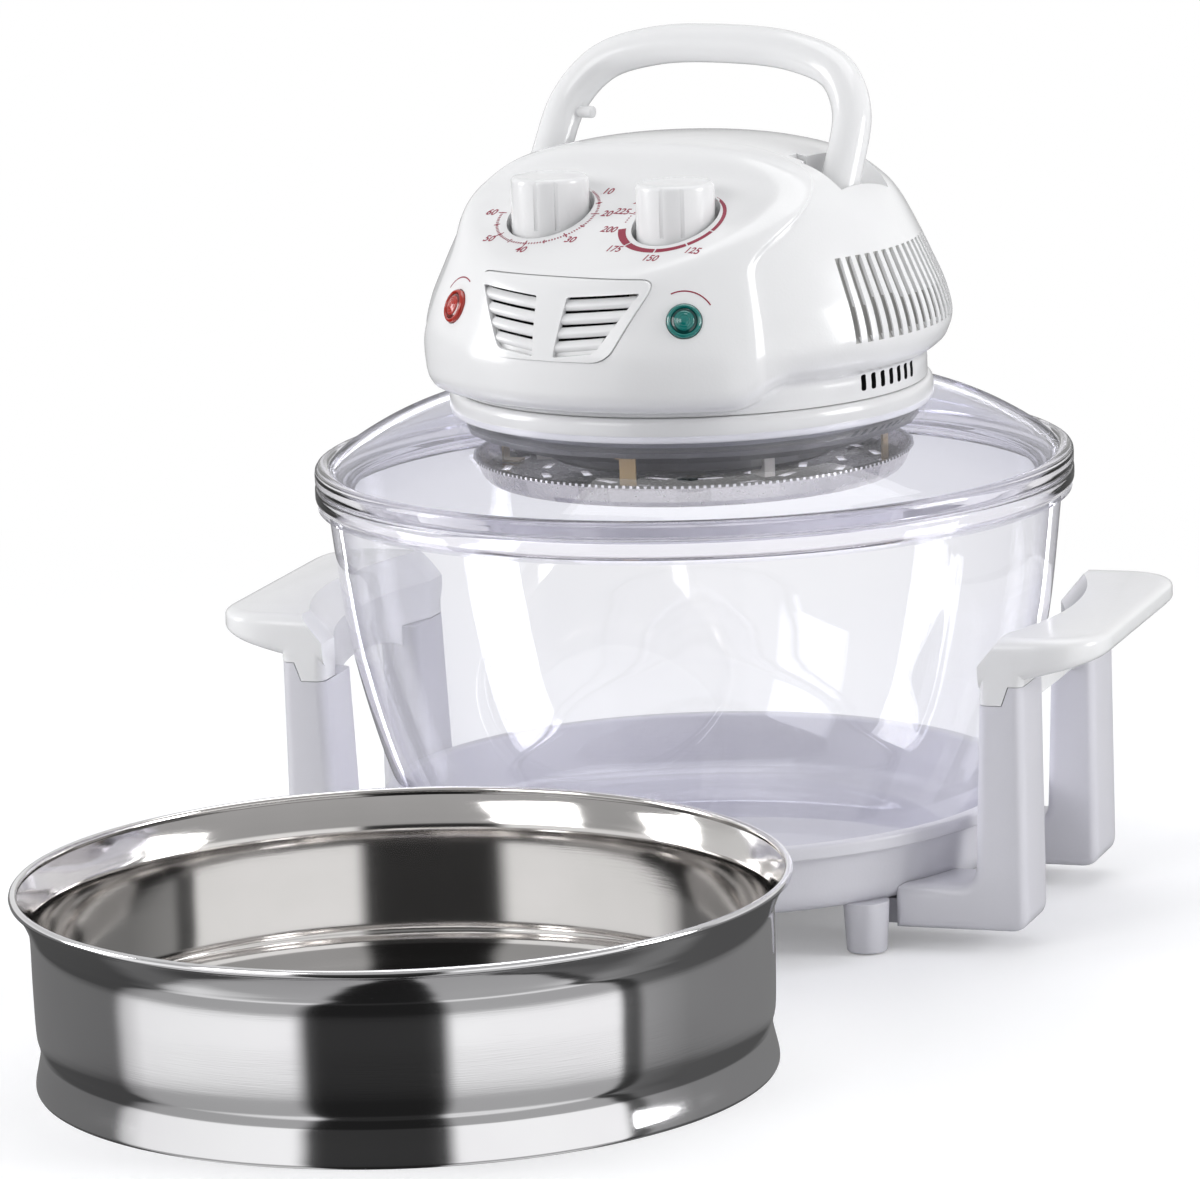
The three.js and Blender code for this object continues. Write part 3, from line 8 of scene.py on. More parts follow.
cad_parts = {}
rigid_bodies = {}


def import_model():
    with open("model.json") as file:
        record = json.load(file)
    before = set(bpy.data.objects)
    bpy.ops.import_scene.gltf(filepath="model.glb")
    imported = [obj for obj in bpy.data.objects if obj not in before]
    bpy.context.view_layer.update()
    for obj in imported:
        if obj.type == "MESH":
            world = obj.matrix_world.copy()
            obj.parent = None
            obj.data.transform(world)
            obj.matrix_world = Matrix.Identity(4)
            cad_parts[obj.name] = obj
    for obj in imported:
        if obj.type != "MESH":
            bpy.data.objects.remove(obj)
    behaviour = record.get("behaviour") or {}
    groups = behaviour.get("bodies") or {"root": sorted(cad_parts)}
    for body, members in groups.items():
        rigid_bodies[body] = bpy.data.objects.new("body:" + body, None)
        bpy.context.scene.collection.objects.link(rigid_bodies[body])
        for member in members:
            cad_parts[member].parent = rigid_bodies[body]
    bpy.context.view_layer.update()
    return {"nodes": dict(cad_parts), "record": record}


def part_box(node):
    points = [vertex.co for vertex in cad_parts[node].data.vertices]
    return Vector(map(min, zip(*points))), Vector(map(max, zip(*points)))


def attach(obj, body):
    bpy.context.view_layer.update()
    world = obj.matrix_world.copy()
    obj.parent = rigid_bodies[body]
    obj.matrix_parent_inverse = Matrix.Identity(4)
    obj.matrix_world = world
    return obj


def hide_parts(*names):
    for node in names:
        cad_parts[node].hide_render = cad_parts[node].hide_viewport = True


for left_over in list(bpy.data.objects):
    bpy.data.objects.remove(left_over)
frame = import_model()

MM = 0.001

# Where the oven, its head and the ring stand in the row frame
OVEN_Y = 0.14558
HEAD_TURN = radians(-14)
AT_OVEN = Matrix.Translation((0, OVEN_Y, 0))
AT_HEAD = AT_OVEN @ Matrix.Rotation(HEAD_TURN, 4, "Z")
ring_low, ring_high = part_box("extension_ring")
AT_RING = Matrix.Translation(((ring_low.x + ring_high.x) / 2, (ring_low.y + ring_high.y) / 2, 0))

# Camera: the photo's own viewing angle, fitted to the round outlines of the bowl, lid and ring
FOCAL_PX = 7090
PHOTO_WIDTH = 1200
SENSOR_MM = 36
CAMERA_DISTANCE = 3.0337
CAMERA_HEIGHT = 0.7433
CAMERA_RANGE = 50
HOLDER_TURN = radians(17.8)
YAW = -0.01408
PITCH = 0.1968
ROLL = 0.03449


def linked(name, data):
    """A new object of some data, in the scene."""
    thing = bpy.data.objects.new(name, data)
    bpy.context.scene.collection.objects.link(thing)
    return thing


def make_camera():
    turn = Matrix.Rotation(HOLDER_TURN, 3, "Z")
    ahead = Vector((sin(YAW) * cos(PITCH), cos(YAW) * cos(PITCH), -sin(PITCH)))
    right = Vector((cos(YAW), -sin(YAW), 0))
    up = right.cross(ahead)
    x_axis = turn @ (right * cos(ROLL) - up * sin(ROLL))
    y_axis = turn @ (right * sin(ROLL) + up * cos(ROLL))
    basis = Matrix((x_axis, y_axis, turn @ -ahead)).transposed().to_4x4()
    place = turn @ Vector((0, -CAMERA_DISTANCE, CAMERA_HEIGHT)) + AT_OVEN.translation
    data = bpy.data.cameras.new("camera")
    data.sensor_width = SENSOR_MM
    data.lens = FOCAL_PX / PHOTO_WIDTH * SENSOR_MM
    data.clip_end = CAMERA_RANGE
    camera = linked("camera", data)
    camera.matrix_world = Matrix.Translation(place) @ basis
    bpy.context.scene.camera = camera


make_camera()


# Materials
class Nodes:
    """A node tree, with short ways to add nodes and to fill their sockets."""

    def __init__(self, tree):
        self.tree = tree

    def feed(self, node, *inputs, **named):
        """Fills a node's sockets, in order or by name, with plain values or links from other nodes."""
        sockets = list(zip(node.inputs, inputs))
        sockets += [(node.inputs[key.replace("_", " ")], value) for key, value in named.items()]
        for socket, value in sockets:
            if isinstance(value, bpy.types.NodeSocket):
                self.tree.links.new(value, socket)
            else:
                socket.default_value = value

    def node(self, kind, *inputs, **named):
        """Adds a node. Names in small letters are its settings, and the others are its sockets."""
        node = self.tree.nodes.new("ShaderNode" + kind)
        for key in [key for key in named if key.islower()]:
            setattr(node, key, named.pop(key))
        self.feed(node, *inputs, **named)
        return node

    def out(self, kind, *inputs, **named):
        """The first output of a new node."""
        return self.node(kind, *inputs, **named).outputs[0]

    def calc(self, operation, *values):
        return self.out("Math", *values, operation=operation)

    def length(self, vector):
        return self.node("VectorMath", vector, operation="LENGTH").outputs["Value"]

    def ramp(self, value, stops):
        """Colours by a value, from stops of a position and a colour."""
        ramp = self.node("ValToRGB", Fac=value)
        elements = ramp.color_ramp.elements
        while len(elements) < len(stops):
            elements.new(0.5)
        for element, (position, colour) in zip(elements, stops):
            element.position = position
            element.color = (*colour, 1)
        return ramp.outputs["Color"]

    def seen(self):
        """One for what the camera sees, straight or through glass, and zero for other light."""
        path = self.node("LightPath").outputs
        return self.calc("MAXIMUM", path["Is Camera Ray"], path["Is Transmission Ray"])


class Shader(Nodes):
    """A material's nodes, round its Principled shader."""

    def __init__(self, name, **settings):
        self.material = bpy.data.materials.new(name)
        self.material.use_nodes = True
        super().__init__(self.material.node_tree)
        self.base = self.tree.nodes["Principled BSDF"]
        self.output = self.tree.nodes["Material Output"]
        self.feed(self.base, **settings)

    def noise(self, scale, detail=3.0, stretch=(1, 1, 1)):
        place = self.node("TexCoord").outputs["Object"]
        mapped = self.out("Mapping", Vector=place, Scale=stretch)
        return self.node("TexNoise", Vector=mapped, Scale=scale, Detail=detail).outputs["Fac"]

    def between(self, value, low, high):
        return self.out("MapRange", Value=value, To_Min=low, To_Max=high)

    def mottled(self, scale, first, second):
        """Two colours that run softly into each other."""
        self.feed(self.base, Base_Color=self.ramp(self.noise(scale), [(0.3, first), (0.7, second)]))

    def rough(self, noise, low, high):
        self.feed(self.base, Roughness=self.between(noise, low, high))

    def bump(self, noise, distance, strength=1.0):
        self.feed(self.base, Normal=self.out("Bump", Strength=strength, Distance=distance, Height=noise))

    def clear_to_light(self, colour):
        """Lets lamps shine through, as they do through thin glass."""
        clear = self.out("BsdfTransparent", Color=(*colour, 1))
        shadow = self.node("LightPath").outputs["Is Shadow Ray"]
        self.feed(self.output, Surface=self.out("MixShader", shadow, self.base.outputs[0], clear))


def plastic(name, first, second, roughness=(0.2, 0.3), grain=0.00004, grain_scale=900, coat=0.2):
    shader = Shader(name, Coat_Weight=coat, Coat_Roughness=0.08, IOR=1.5)
    shader.mottled(14, first, second)
    shader.rough(shader.noise(60), *roughness)
    shader.bump(shader.noise(grain_scale, 2), grain)
    return shader.material


def metal(name, first, second, roughness=(0.2, 0.35), stretch=(1, 1, 1), scale=400, depth=0.00003):
    shader = Shader(name, Metallic=1.0)
    shader.mottled(18, first, second)
    grain = shader.noise(scale, 4, stretch)
    shader.rough(grain, *roughness)
    shader.bump(grain, depth)
    return shader.material


def sheet_glass(name, tints):
    """Thin glass walls: straight through, a clear gloss, and a lilac tint where the wall is seen edge-on."""
    shader = Shader(name, Transmission_Weight=1.0, IOR=1.01, Coat_Weight=1.0, Coat_Roughness=0.015,
                    Coat_IOR=1.5)
    edge_on = shader.node("LayerWeight", Blend=0.5).outputs["Facing"]
    ripple = shader.out("Bump", Strength=0.5, Distance=0.0002, Height=shader.noise(7, 1))
    shader.feed(shader.base, Base_Color=shader.ramp(edge_on, tints), Coat_Normal=ripple)
    shader.rough(shader.noise(25), 0.0, 0.01)
    shader.clear_to_light((0.93, 0.93, 0.95))
    return shader.material


def solid_glass(name):
    """Thick pressed glass of the rims, with fine pressed rings."""
    shader = Shader(name, Base_Color=(0.93, 0.92, 0.96, 1), IOR=1.45, Transmission_Weight=1.0)
    shader.rough(shader.noise(40), 0.0, 0.05)
    shader.bump(shader.noise(60, 2, (0.15, 0.15, 3)), 0.0002, 0.5)
    shader.clear_to_light((0.85, 0.85, 0.9))
    return shader.material


def pressed_metal(name, rim_radius, knurls):
    """Pressed metal round the oven's axis, with painted reflections: upper faces painted dark and sides
    painted brighter by which way they face, and a knurled rim whose ridges get painted highlights and shade
    as stripes round the axis.
    """
    shader = Shader(name, Metallic=1.0)
    geometry = shader.node("NewGeometry").outputs
    upward = shader.node("SeparateXYZ", geometry["Normal"]).outputs["Z"]
    # painted reflections: dark on faces that look up, bright on faces that look sideways
    plain = shader.ramp(upward, [(0.3, (0.62, 0.6, 0.61)), (0.6, (0.07, 0.062, 0.058))])
    from_axis = shader.out("VectorMath", geometry["Position"], (0, OVEN_Y, 0), operation="SUBTRACT")
    radius = shader.length(shader.out("VectorMath", from_axis, (1, 1, 0), operation="MULTIPLY"))
    on_rim = shader.calc("GREATER_THAN", radius, rim_radius)
    split = shader.node("SeparateXYZ", from_axis).outputs
    angle = shader.calc("ARCTAN2", split["Y"], split["X"])
    # painted highlights and shade of the knurl ridges, as light and dark stripes round the axis
    wave = shader.calc("SINE", shader.calc("MULTIPLY", angle, knurls))
    painted_knurl_light = shader.ramp(wave, [(0.1, (0.08, 0.075, 0.07)), (0.5, (0.85, 0.84, 0.84))])
    colours = shader.node("Mix", data_type="RGBA", Factor=on_rim, A=plain, B=painted_knurl_light).outputs["Result"]
    shader.feed(shader.base, Base_Color=colours)
    shader.rough(shader.noise(350, 4), 0.2, 0.32)
    shader.bump(shader.noise(160, 3), 0.00001)
    return shader.material


# Tints of the glass walls, from square on to edge-on
BOWL_TINTS = [(0.0, (0.96, 0.96, 0.975)), (0.7, (0.89, 0.89, 0.92)), (0.9, (0.64, 0.63, 0.71)),
              (1.0, (0.38, 0.37, 0.45))]
LID_TINTS = [(0.0, (0.86, 0.865, 0.9)), (0.5, (0.78, 0.78, 0.84)), (0.8, (0.6, 0.6, 0.69)),
             (1.0, (0.38, 0.37, 0.46))]
TRAY_RIM = 0.0947
TRAY_KNURLS = 190
POLISHED = {"stretch": (1, 1, 40), "scale": 60, "depth": 0.000006}
CLEAR_LENS = {"roughness": (0.05, 0.1), "grain": 0.00001, "grain_scale": 300, "coat": 0.8}
CAD_SHARP = radians(32)
finishes = {
    "glass": sheet_glass("clear glass wall", BOWL_TINTS),
    "holder_plastic": plastic("holder plastic", (0.67, 0.665, 0.71), (0.69, 0.685, 0.73), (0.28, 0.36)),
    "white_plastic": plastic("white gloss plastic", (0.82, 0.82, 0.825), (0.835, 0.835, 0.84), (0.14, 0.22)),
    "rubber": plastic("foot rubber", (0.06, 0.06, 0.062), (0.09, 0.09, 0.09), (0.6, 0.8), 0.0001, 500, 0),
    "plated_steel": metal("plated steel", (0.08, 0.078, 0.078), (0.13, 0.128, 0.128), (0.3, 0.4),
                          depth=0.000005),
    "polished_steel": metal("polished steel", (0.84, 0.83, 0.85), (0.88, 0.88, 0.89), (0.06, 0.11),
                            **POLISHED),
    "tray_aluminium": pressed_metal("pressed aluminium with painted light", TRAY_RIM, TRAY_KNURLS),
    "brass": metal("dull brass", (0.36, 0.25, 0.12), (0.5, 0.37, 0.19), (0.3, 0.5)),
    "ceramic": plastic("unglazed ceramic", (0.72, 0.68, 0.6), (0.8, 0.77, 0.7), (0.6, 0.75), 0.00015, 700, 0),
    "red_lens": plastic("red lens", (0.4, 0.014, 0.005), (0.46, 0.022, 0.01), **CLEAR_LENS),
    "green_lens": plastic("green lens", (0.0, 0.14, 0.125), (0.0, 0.18, 0.16), **CLEAR_LENS),
    "black_plastic": plastic("black plastic", (0.02, 0.02, 0.022), (0.035, 0.035, 0.036), (0.35, 0.5)),
    "copper": metal("enamelled copper", (0.36, 0.13, 0.05), (0.46, 0.19, 0.08), (0.25, 0.4), (1, 1, 30), 120,
                    0.0002),
}
lid_glass = sheet_glass("lid glass wall", LID_TINTS)
rim_glass = solid_glass("pressed glass rim")
ring_inside_steel = metal("brushed inner steel", (0.66, 0.645, 0.63), (0.72, 0.7, 0.69), (0.07, 0.12),
                          **POLISHED)
# Near-black painted shade for the cover's inner faces and vent walls, which are the same white plastic as the
# outside
cover_inside_painted_shade = plastic("painted shade inner plastic", (0.012, 0.012, 0.013), (0.02, 0.02, 0.02), (0.6, 0.8),
                       0.0001, 400, 0)
# Grey painted shade for the floors of the side grooves, which are the same white plastic as the fins
groove_floor_painted_shade = plastic("painted shade groove plastic", (0.36, 0.355, 0.345), (0.42, 0.415, 0.405), (0.5, 0.6),
                        coat=0)
ink = plastic("crimson print", (0.26, 0.009, 0.038), (0.3, 0.014, 0.048), (0.35, 0.45), 0.00001, 900, 0)
dark_red = plastic("dark red lens", (0.12, 0.004, 0.002), (0.16, 0.006, 0.004), **CLEAR_LENS)
dark_green = plastic("dark green lens", (0.0, 0.035, 0.035), (0.0, 0.05, 0.048), **CLEAR_LENS)
slot_of = {entry["node"]: entry["material_slot"] for entry in frame["record"]["subparts"]}
for name, node in frame["nodes"].items():
    node.data.materials.clear()
    node.data.materials.append(finishes[slot_of[name]])
    node.data.shade_smooth()
    node.data.set_sharp_from_angle(angle=CAD_SHARP)


# Mesh helpers. Outlines are in millimetres, with a third number for the radius of a rounded corner.
HERE = Matrix.Identity(4)
SEGMENTS = 144
# Stands up a flat outline, so that its second number is a height
UPRIGHT = Matrix.Rotation(pi / 2, 4, "X")
ALONG_X = Matrix.Rotation(pi / 2, 4, "Y")


def mixed(a, b, t):
    return a + (b - a) * t


def eased(value, low, high):
    t = min(max((value - low) / (high - low), 0), 1)
    return t * t * (3 - 2 * t)


def circle(radius, count):
    angles = [2 * pi * k / count for k in range(count)]
    return [(radius * cos(a), radius * sin(a)) for a in angles]


def rounded(outline, steps=4):
    """A closed outline of (x, y, corner radius) with its corners replaced by small curves."""
    points = []
    count = len(outline)
    for i, corner in enumerate(outline):
        here = Vector(corner[:2])
        radius = corner[2] if len(corner) > 2 else 0
        before = Vector(outline[i - 1][:2]) - here
        after = Vector(outline[(i + 1) % count][:2]) - here
        reach = min(radius, before.length / 2, after.length / 2)
        if reach <= 0:
            points.append(here)
            continue
        start = here + before.normalized() * reach
        end = here + after.normalized() * reach
        for k in range(steps + 1):
            t = k / steps
            points.append(start * (1 - t) ** 2 + here * 2 * t * (1 - t) + end * t ** 2)
    return points


def rectangle(low, high, corner, steps):
    """A rounded rectangle between two opposite corners."""
    points = [low, (high[0], low[1]), high, (low[0], high[1])]
    return rounded([(*point, corner) for point in points], steps)


def both_ends(near, far):
    """A span along y, in front of the middle and behind it."""
    return (-far, -near), (near, far)


def smooth(points, per=5):
    """A curve through points, as more points."""
    out = []
    ends = [points[0], *points, points[-1]]
    for i in range(1, len(points)):
        a, b, c, d = (Vector(p) for p in ends[i - 1:i + 3])
        for k in range(per):
            t = k / per
            out.append(0.5 * (2 * b + (c - a) * t + (2 * a - 5 * b + 4 * c - d) * t ** 2
                              + (3 * b - a - 3 * c + d) * t ** 3))
    out.append(Vector(points[-1]))
    return out


def offset(points, distance):
    """Moves a curve sideways, to the right of its direction of travel."""
    moved = []
    for i, point in enumerate(points):
        along = points[min(i + 1, len(points) - 1)] - points[max(i - 1, 0)]
        along.normalize()
        moved.append(point + Vector((along.y, -along.x)) * distance)
    return moved


def inset_outline(points, distance):
    """Moves a closed outline inward."""
    area = sum(a.x * b.y - b.x * a.y for a, b in zip(points, points[1:] + points[:1]))
    turn = 1 if area > 0 else -1
    moved = []
    for i, point in enumerate(points):
        before = (point - points[i - 1]).normalized()
        after = (points[(i + 1) % len(points)] - point).normalized()
        normals = [Vector((-d.y, d.x)) * turn for d in (before, after)]
        both = normals[0] + normals[1]
        moved.append(point + both * (2 * distance / max(both.length_squared, 0.5)))
    return moved


def add_object(name, mesh, slot, body, replaces, angle=35, materials=()):
    """Adds a mesh as a piece with its finish, its body and the CAD nodes that it stands for."""
    for material in materials or (finishes[slot],):
        mesh.materials.append(material)
    mesh.shade_smooth()
    if angle:
        mesh.set_sharp_from_angle(angle=radians(angle))
    piece = linked(name, mesh)
    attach(piece, body)
    if replaces:
        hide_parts(*replaces)


def mesh_of(vertices, faces, place=HERE, tidy=True):
    """A mesh of vertices in millimetres, put in a place in metres."""
    mesh = bpy.data.meshes.new("mesh")
    mesh.from_pydata([place @ (Vector(v) * MM) for v in vertices], [], faces)
    if tidy:
        build = bmesh.new()
        build.from_mesh(mesh)
        bmesh.ops.remove_doubles(build, verts=build.verts, dist=1e-6)
        bmesh.ops.dissolve_degenerate(build, edges=build.edges, dist=1e-7)
        bmesh.ops.recalc_face_normals(build, faces=build.faces)
        build.to_mesh(mesh)
        build.free()
    return mesh


def revolved(outline, place=HERE, segments=SEGMENTS, steps=4):
    """A closed outline of (radius, height) turned round the upright axis."""
    points = rounded(outline, steps)
    count = len(points)
    vertices = [(p.x * x, p.x * y, p.y) for x, y in circle(1, segments) for p in points]
    faces = []
    for s in range(segments):
        here, there = s * count, ((s + 1) % segments) * count
        for i in range(count):
            j = (i + 1) % count
            faces.append((here + i, there + i, there + j, here + j))
    return mesh_of(vertices, faces, place)


def layered_mesh(layers):
    """A closed body between rings of equally many points, with a flat face at each end."""
    count = len(layers[0])
    last = (len(layers) - 1) * count
    faces = [(row + i, row + (i + 1) % count, row + count + (i + 1) % count, row + count + i)
             for row in range(0, last, count) for i in range(count)]
    faces += [tuple(reversed(range(count))), tuple(range(last, last + count))]
    return mesh_of([point for layer in layers for point in layer], faces)


# In the next four the place is in millimetres too
def box_mesh(low, high, place=HERE):
    corners = [(x, y, z) for x in (low[0], high[0]) for y in (low[1], high[1]) for z in (low[2], high[2])]
    faces = [(0, 1, 3, 2), (4, 6, 7, 5), (0, 4, 5, 1), (2, 3, 7, 6), (0, 2, 6, 4), (1, 5, 7, 3)]
    return mesh_of([place @ Vector(corner) for corner in corners], faces)


def prism_mesh(outline, low, high, place=HERE):
    """A prism of (x, y) points between two heights."""
    return layered_mesh([[place @ Vector((*point[:2], z)) for point in outline] for z in (low, high)])


def bar_mesh(radius, low, high, place=HERE, segments=64):
    return prism_mesh(circle(radius, segments), low, high, place)


def soft_slab(outline, low, high, edge, place=HERE, steps=6, lift=None):
    """A slab of an outline with its edges rounded on both faces."""
    points = [Vector(p) for p in outline]
    layers = []
    for k in range(2 * steps + 2):
        upper = k > steps
        a = radians(90) * ((2 * steps + 1 - k) if upper else k) / steps
        rise = edge * (1 - cos(a))
        z = high - rise if upper else low + rise
        ring = [Vector((p.x, p.y, z)) for p in inset_outline(points, edge * (1 - sin(a)))]
        layers.append([place @ (lift(p) if lift else p) for p in ring])
    return layered_mesh(layers)


def together(meshes, materials=None):
    """One mesh of several, each with its own material number where these are given."""
    build = bmesh.new()
    for mesh, material in zip(meshes, materials or [0] * len(meshes)):
        before = len(build.faces)
        build.from_mesh(mesh)
        build.faces.ensure_lookup_table()
        for face in build.faces[before:]:
            face.material_index = material
    joined = bpy.data.meshes.new("together")
    build.to_mesh(joined)
    build.free()
    return joined


def evaluated_mesh(thing):
    """The mesh that an object comes to, with its modifiers."""
    bpy.context.view_layer.update()
    return bpy.data.meshes.new_from_object(thing.evaluated_get(bpy.context.evaluated_depsgraph_get()))


def carved(mesh, *tools, operation="DIFFERENCE"):
    """A mesh with tools cut away, added or kept, one after another."""
    for tool_mesh in tools:
        body = linked("body", mesh)
        tool = linked("tool", tool_mesh)
        boolean = body.modifiers.new("boolean", "BOOLEAN")
        boolean.operation = operation
        boolean.solver = "EXACT"
        boolean.object = tool
        mesh = evaluated_mesh(body)
        for thing in (body, tool):
            bpy.data.objects.remove(thing)
    return mesh


def mirrored(mesh, sx, sy):
    copy = mesh.copy()
    copy.transform(Matrix.Diagonal((sx, sy, 1, 1)))
    if sx * sy < 0:
        copy.flip_normals()
    return copy


def placed(mesh, place):
    mesh.transform(place)
    return mesh


def add_glass(name, wall, rim, place, body, node, wall_glass):
    """A glass wall with its pressed rim."""
    mesh = together([revolved(wall, place), revolved(rim, place)], [0, 1])
    add_object(name, mesh, "glass", body, [node], materials=(wall_glass, rim_glass))


# Glass bowl
GLASS_WALL = 4.5
RIM_RADIUS = 165
RIM_INNER = 155.2
RIM_LOW = 181.5
RIM_FOOT = RIM_LOW + 0.2
BOWL_BASE = 23.3
BOWL_TOP = 190
bowl_wall = smooth([(70, BOWL_BASE), (94, BOWL_BASE), (108, 25.5), (118, 31), (126, 40), (132.2, 52),
                    (139.5, 71.5), (148, 102), (154, 132), (159.4, 178), (159.6, RIM_LOW)])
bowl_inside = offset(bowl_wall, -GLASS_WALL)
bowl_outline = [(0, BOWL_BASE), *bowl_wall, *reversed(bowl_inside), (0, BOWL_BASE + GLASS_WALL)]
bowl_rim = [(RIM_INNER, RIM_FOOT, 0.5), (160, RIM_FOOT, 1), (163, RIM_FOOT, 2), (RIM_RADIUS, 184, 2),
            (RIM_RADIUS, BOWL_TOP, 1.5), (RIM_INNER, BOWL_TOP, 2)]
add_glass("bowl", bowl_outline, bowl_rim, AT_OVEN, "bowl", "glass_bowl", finishes["glass"])

# Glass lid
LID_BASE = 190.3
LID_HOLE = 91
LID_TOP = 219.5
LID_LOW = 186.4
LID_EDGE = 198.4
dome = smooth([(156, 194.6), (151.5, LID_EDGE), (143, 204), (132, 210), (120, 215), (109, 218.2),
               (100, 219.4), (LID_HOLE, LID_TOP)])
dome_inside = offset(dome, GLASS_WALL)
dome_inside[-1] = Vector((LID_HOLE, LID_TOP - GLASS_WALL))
lid_rim = [(147, LID_LOW, 1.5), (150.6, LID_LOW, 1.5), (151, LID_BASE, 0.8),
           (RIM_RADIUS - 0.2, LID_BASE, 1.5), (RIM_RADIUS, LID_EDGE, 4), (158.5, LID_EDGE, 3),
           (156, 194.4, 1), (152, 190.8, 1)]
add_glass("lid", [*dome, *reversed(dome_inside)], lid_rim, AT_HEAD, "lid_head", "glass_lid", lid_glass)

# Base ring of the head
SLEEVE_IN = 87.4
SLEEVE_OUT = 90.4
SLEEVE_LOW = 215.8
FLANGE_LOW = 219.8
FLANGE_OUT = 105
FLANGE_FLOOR = 222.8
base_outline = [(SLEEVE_IN, SLEEVE_LOW, 0.8), (SLEEVE_OUT, SLEEVE_LOW, 0.8), (SLEEVE_OUT, FLANGE_LOW, 0.3),
                (104, FLANGE_LOW, 1.6), (FLANGE_OUT, 222.5, 2), (FLANGE_OUT, 228.4, 1.5), (103.6, 230.8, 1.2),
                (100, 231, 0.5), (100, FLANGE_FLOOR, 1), (SLEEVE_IN, FLANGE_FLOOR, 1)]
add_object("head_base_ring", revolved(base_outline, AT_HEAD), "white_plastic", "lid_head", ["base_ring"])

# Extension ring, with a rolled bead along its rim
RING_SEGMENTS = 192
RING_WALL = 1.2
BEAD_RADIUS = 155.3
BEAD_HEIGHT = 78.1
BEAD_WIDE = 1.7
BEAD_TALL = 1.9
ring_wall = smooth([(149.5, 0.6), (149.3, 3.2), (147.2, 13), (147.4, 18), (148.5, 24), (149, 45), (149.2, 62),
                    (150.6, 67.5), (153.2, 73), (155.2, 76.2)])
bead = [(BEAD_RADIUS + BEAD_WIDE * y, BEAD_HEIGHT - BEAD_TALL * x) for x, y in circle(1, 12)[2:]]
ring_outline = [(149.2, 0), *ring_wall, *bead, *reversed(offset(ring_wall, -RING_WALL)), (148.4, 0)]
ring = revolved(ring_outline, AT_RING, RING_SEGMENTS)
for face in ring.polygons:
    outward = face.center - AT_RING.translation
    outward.z = 0
    face.material_index = 1 if face.normal.dot(outward.normalized()) < -0.5 else 0
add_object("ring", ring, "polished_steel", "extension_ring", ["extension_ring"], 60,
           (finishes["polished_steel"], ring_inside_steel))

# Holder: dish with its feet
DISH_OUTER = [(0, 20), (118.6, 20, 6), (130.6, 22, 5), (134.6, 28, 6), (137, 46, 1), (140.6, 46, 1)]
DISH_INNER = [(140.6, 52, 1.5), (134, 52, 1.5), (131.7, 28.4, 6), (128.4, 24.8, 5), (118.3, 23, 5), (0, 23)]
FOOT = [(6.2, 0.6, 0.8), (8.7, 0.6, 1.2), (9.9, 22.6, 0.5), (0, 22.6), (0, 3.9), (6.2, 3.9, 0.3)]
FOOT_X = 97.5
FOOT_Y = 84.1
CORNERS = [(-1, -1), (1, -1), (-1, 1), (1, 1)]
dish_parts = [revolved(DISH_OUTER + DISH_INNER, AT_OVEN, RING_SEGMENTS, 6)]
for sx, sy in CORNERS:
    at_foot = AT_OVEN @ Matrix.Translation((sx * FOOT_X * MM, sy * FOOT_Y * MM, 0))
    dish_parts.append(revolved(FOOT, at_foot, 48))
add_object("dish", together(dish_parts), "holder_plastic", "holder", ["base_dish"])

# Legs
LEG_LOW = 9
LEG_HIGH = 122
LEG_ROOT = 108.1
LEG_BEND = 28.4
LEG_INNER = 143.3
LEG_TOP_INNER = 146.9
LEG_OUTER = 166.2
LEG_FRONT = 78
LEG_BACK = 42
LEG_EDGE = 4.5
SEAM = 107
SEAM_TOP = SEAM + 0.3
STEP_TOP = 115.2
TONGUE = ((86.1, LEG_BACK, LEG_LOW), (117.8, 68, 19.7))
SCREW_PLACE = Matrix.Translation((93.43, 55, 0))
DISH_ROOM = [(0, 19.7), (118.6, 19.7, 6), (130.8, 21.7, 5), (134.9, 27.9, 6), (137.3, 45.7), (140.9, 45.7),
             (140.9, 60), (0, 60)]
# Farther along y than any leg or grip
BEYOND = 120


def leg_mesh():
    profile = rounded([(LEG_ROOT, LEG_LOW), (LEG_OUTER, LEG_LOW, 8), (LEG_OUTER, LEG_HIGH),
                       (LEG_TOP_INNER + 0.3, LEG_HIGH), (LEG_INNER, LEG_BEND, 8), (LEG_ROOT, LEG_BEND)], 8)
    upright = soft_slab(profile, -LEG_FRONT, -LEG_BACK, LEG_EDGE, UPRIGHT)
    outside = LEG_OUTER + 10
    grip_room = [(0, SEAM), (157.2, SEAM), (160.2, STEP_TOP), (outside, STEP_TOP), (outside, 140), (0, 140)]
    return carved(carved(upright, box_mesh(*TONGUE), operation="UNION"),
                  prism_mesh(grip_room, -BEYOND, BEYOND, UPRIGHT), revolved(DISH_ROOM, HERE, 96, 6),
                  bar_mesh(4.3, 0, 11.4, SCREW_PLACE))


leg = leg_mesh()
END_NAMES = {-1: "front", 1: "rear"}
SIDE_NAMES = {-1: "left", 1: "right"}
for sx, sy in CORNERS:
    name = f"leg_{END_NAMES[sy]}_{SIDE_NAMES[sx]}"
    shell = placed(mirrored(leg, sx, sy), AT_OVEN)
    add_object(f"{name}_shell", shell, "holder_plastic", "holder", [name], 32)

# Finger grips
GRIP_TOP = 136
GRIP_THICK = 18
GRIP_INNER = 94.9
GRIP_OUTER = 198.9
GRIP_CORNER = 28
GRIP_EDGE = 5.5
GRIP_RISING = tan(radians(14))
CAP_TOP = GRIP_TOP - GRIP_EDGE
CHAMFER_LOW = GRIP_TOP - 12
CHAMFER_RUN = 10
ABOVE_GRIP = 150
BOWL_SIDE = 159.5
APRON_LOW = 97
APRON_WALL = 4
APRON_END = 41.7
ARCH_HALF = 42
ARCH_RISE = 7


def raised_under(point):
    depth = (GRIP_TOP - point.z) / GRIP_THICK
    return Vector((point.x, point.y, point.z + depth * GRIP_RISING * (point.x - LEG_OUTER)))


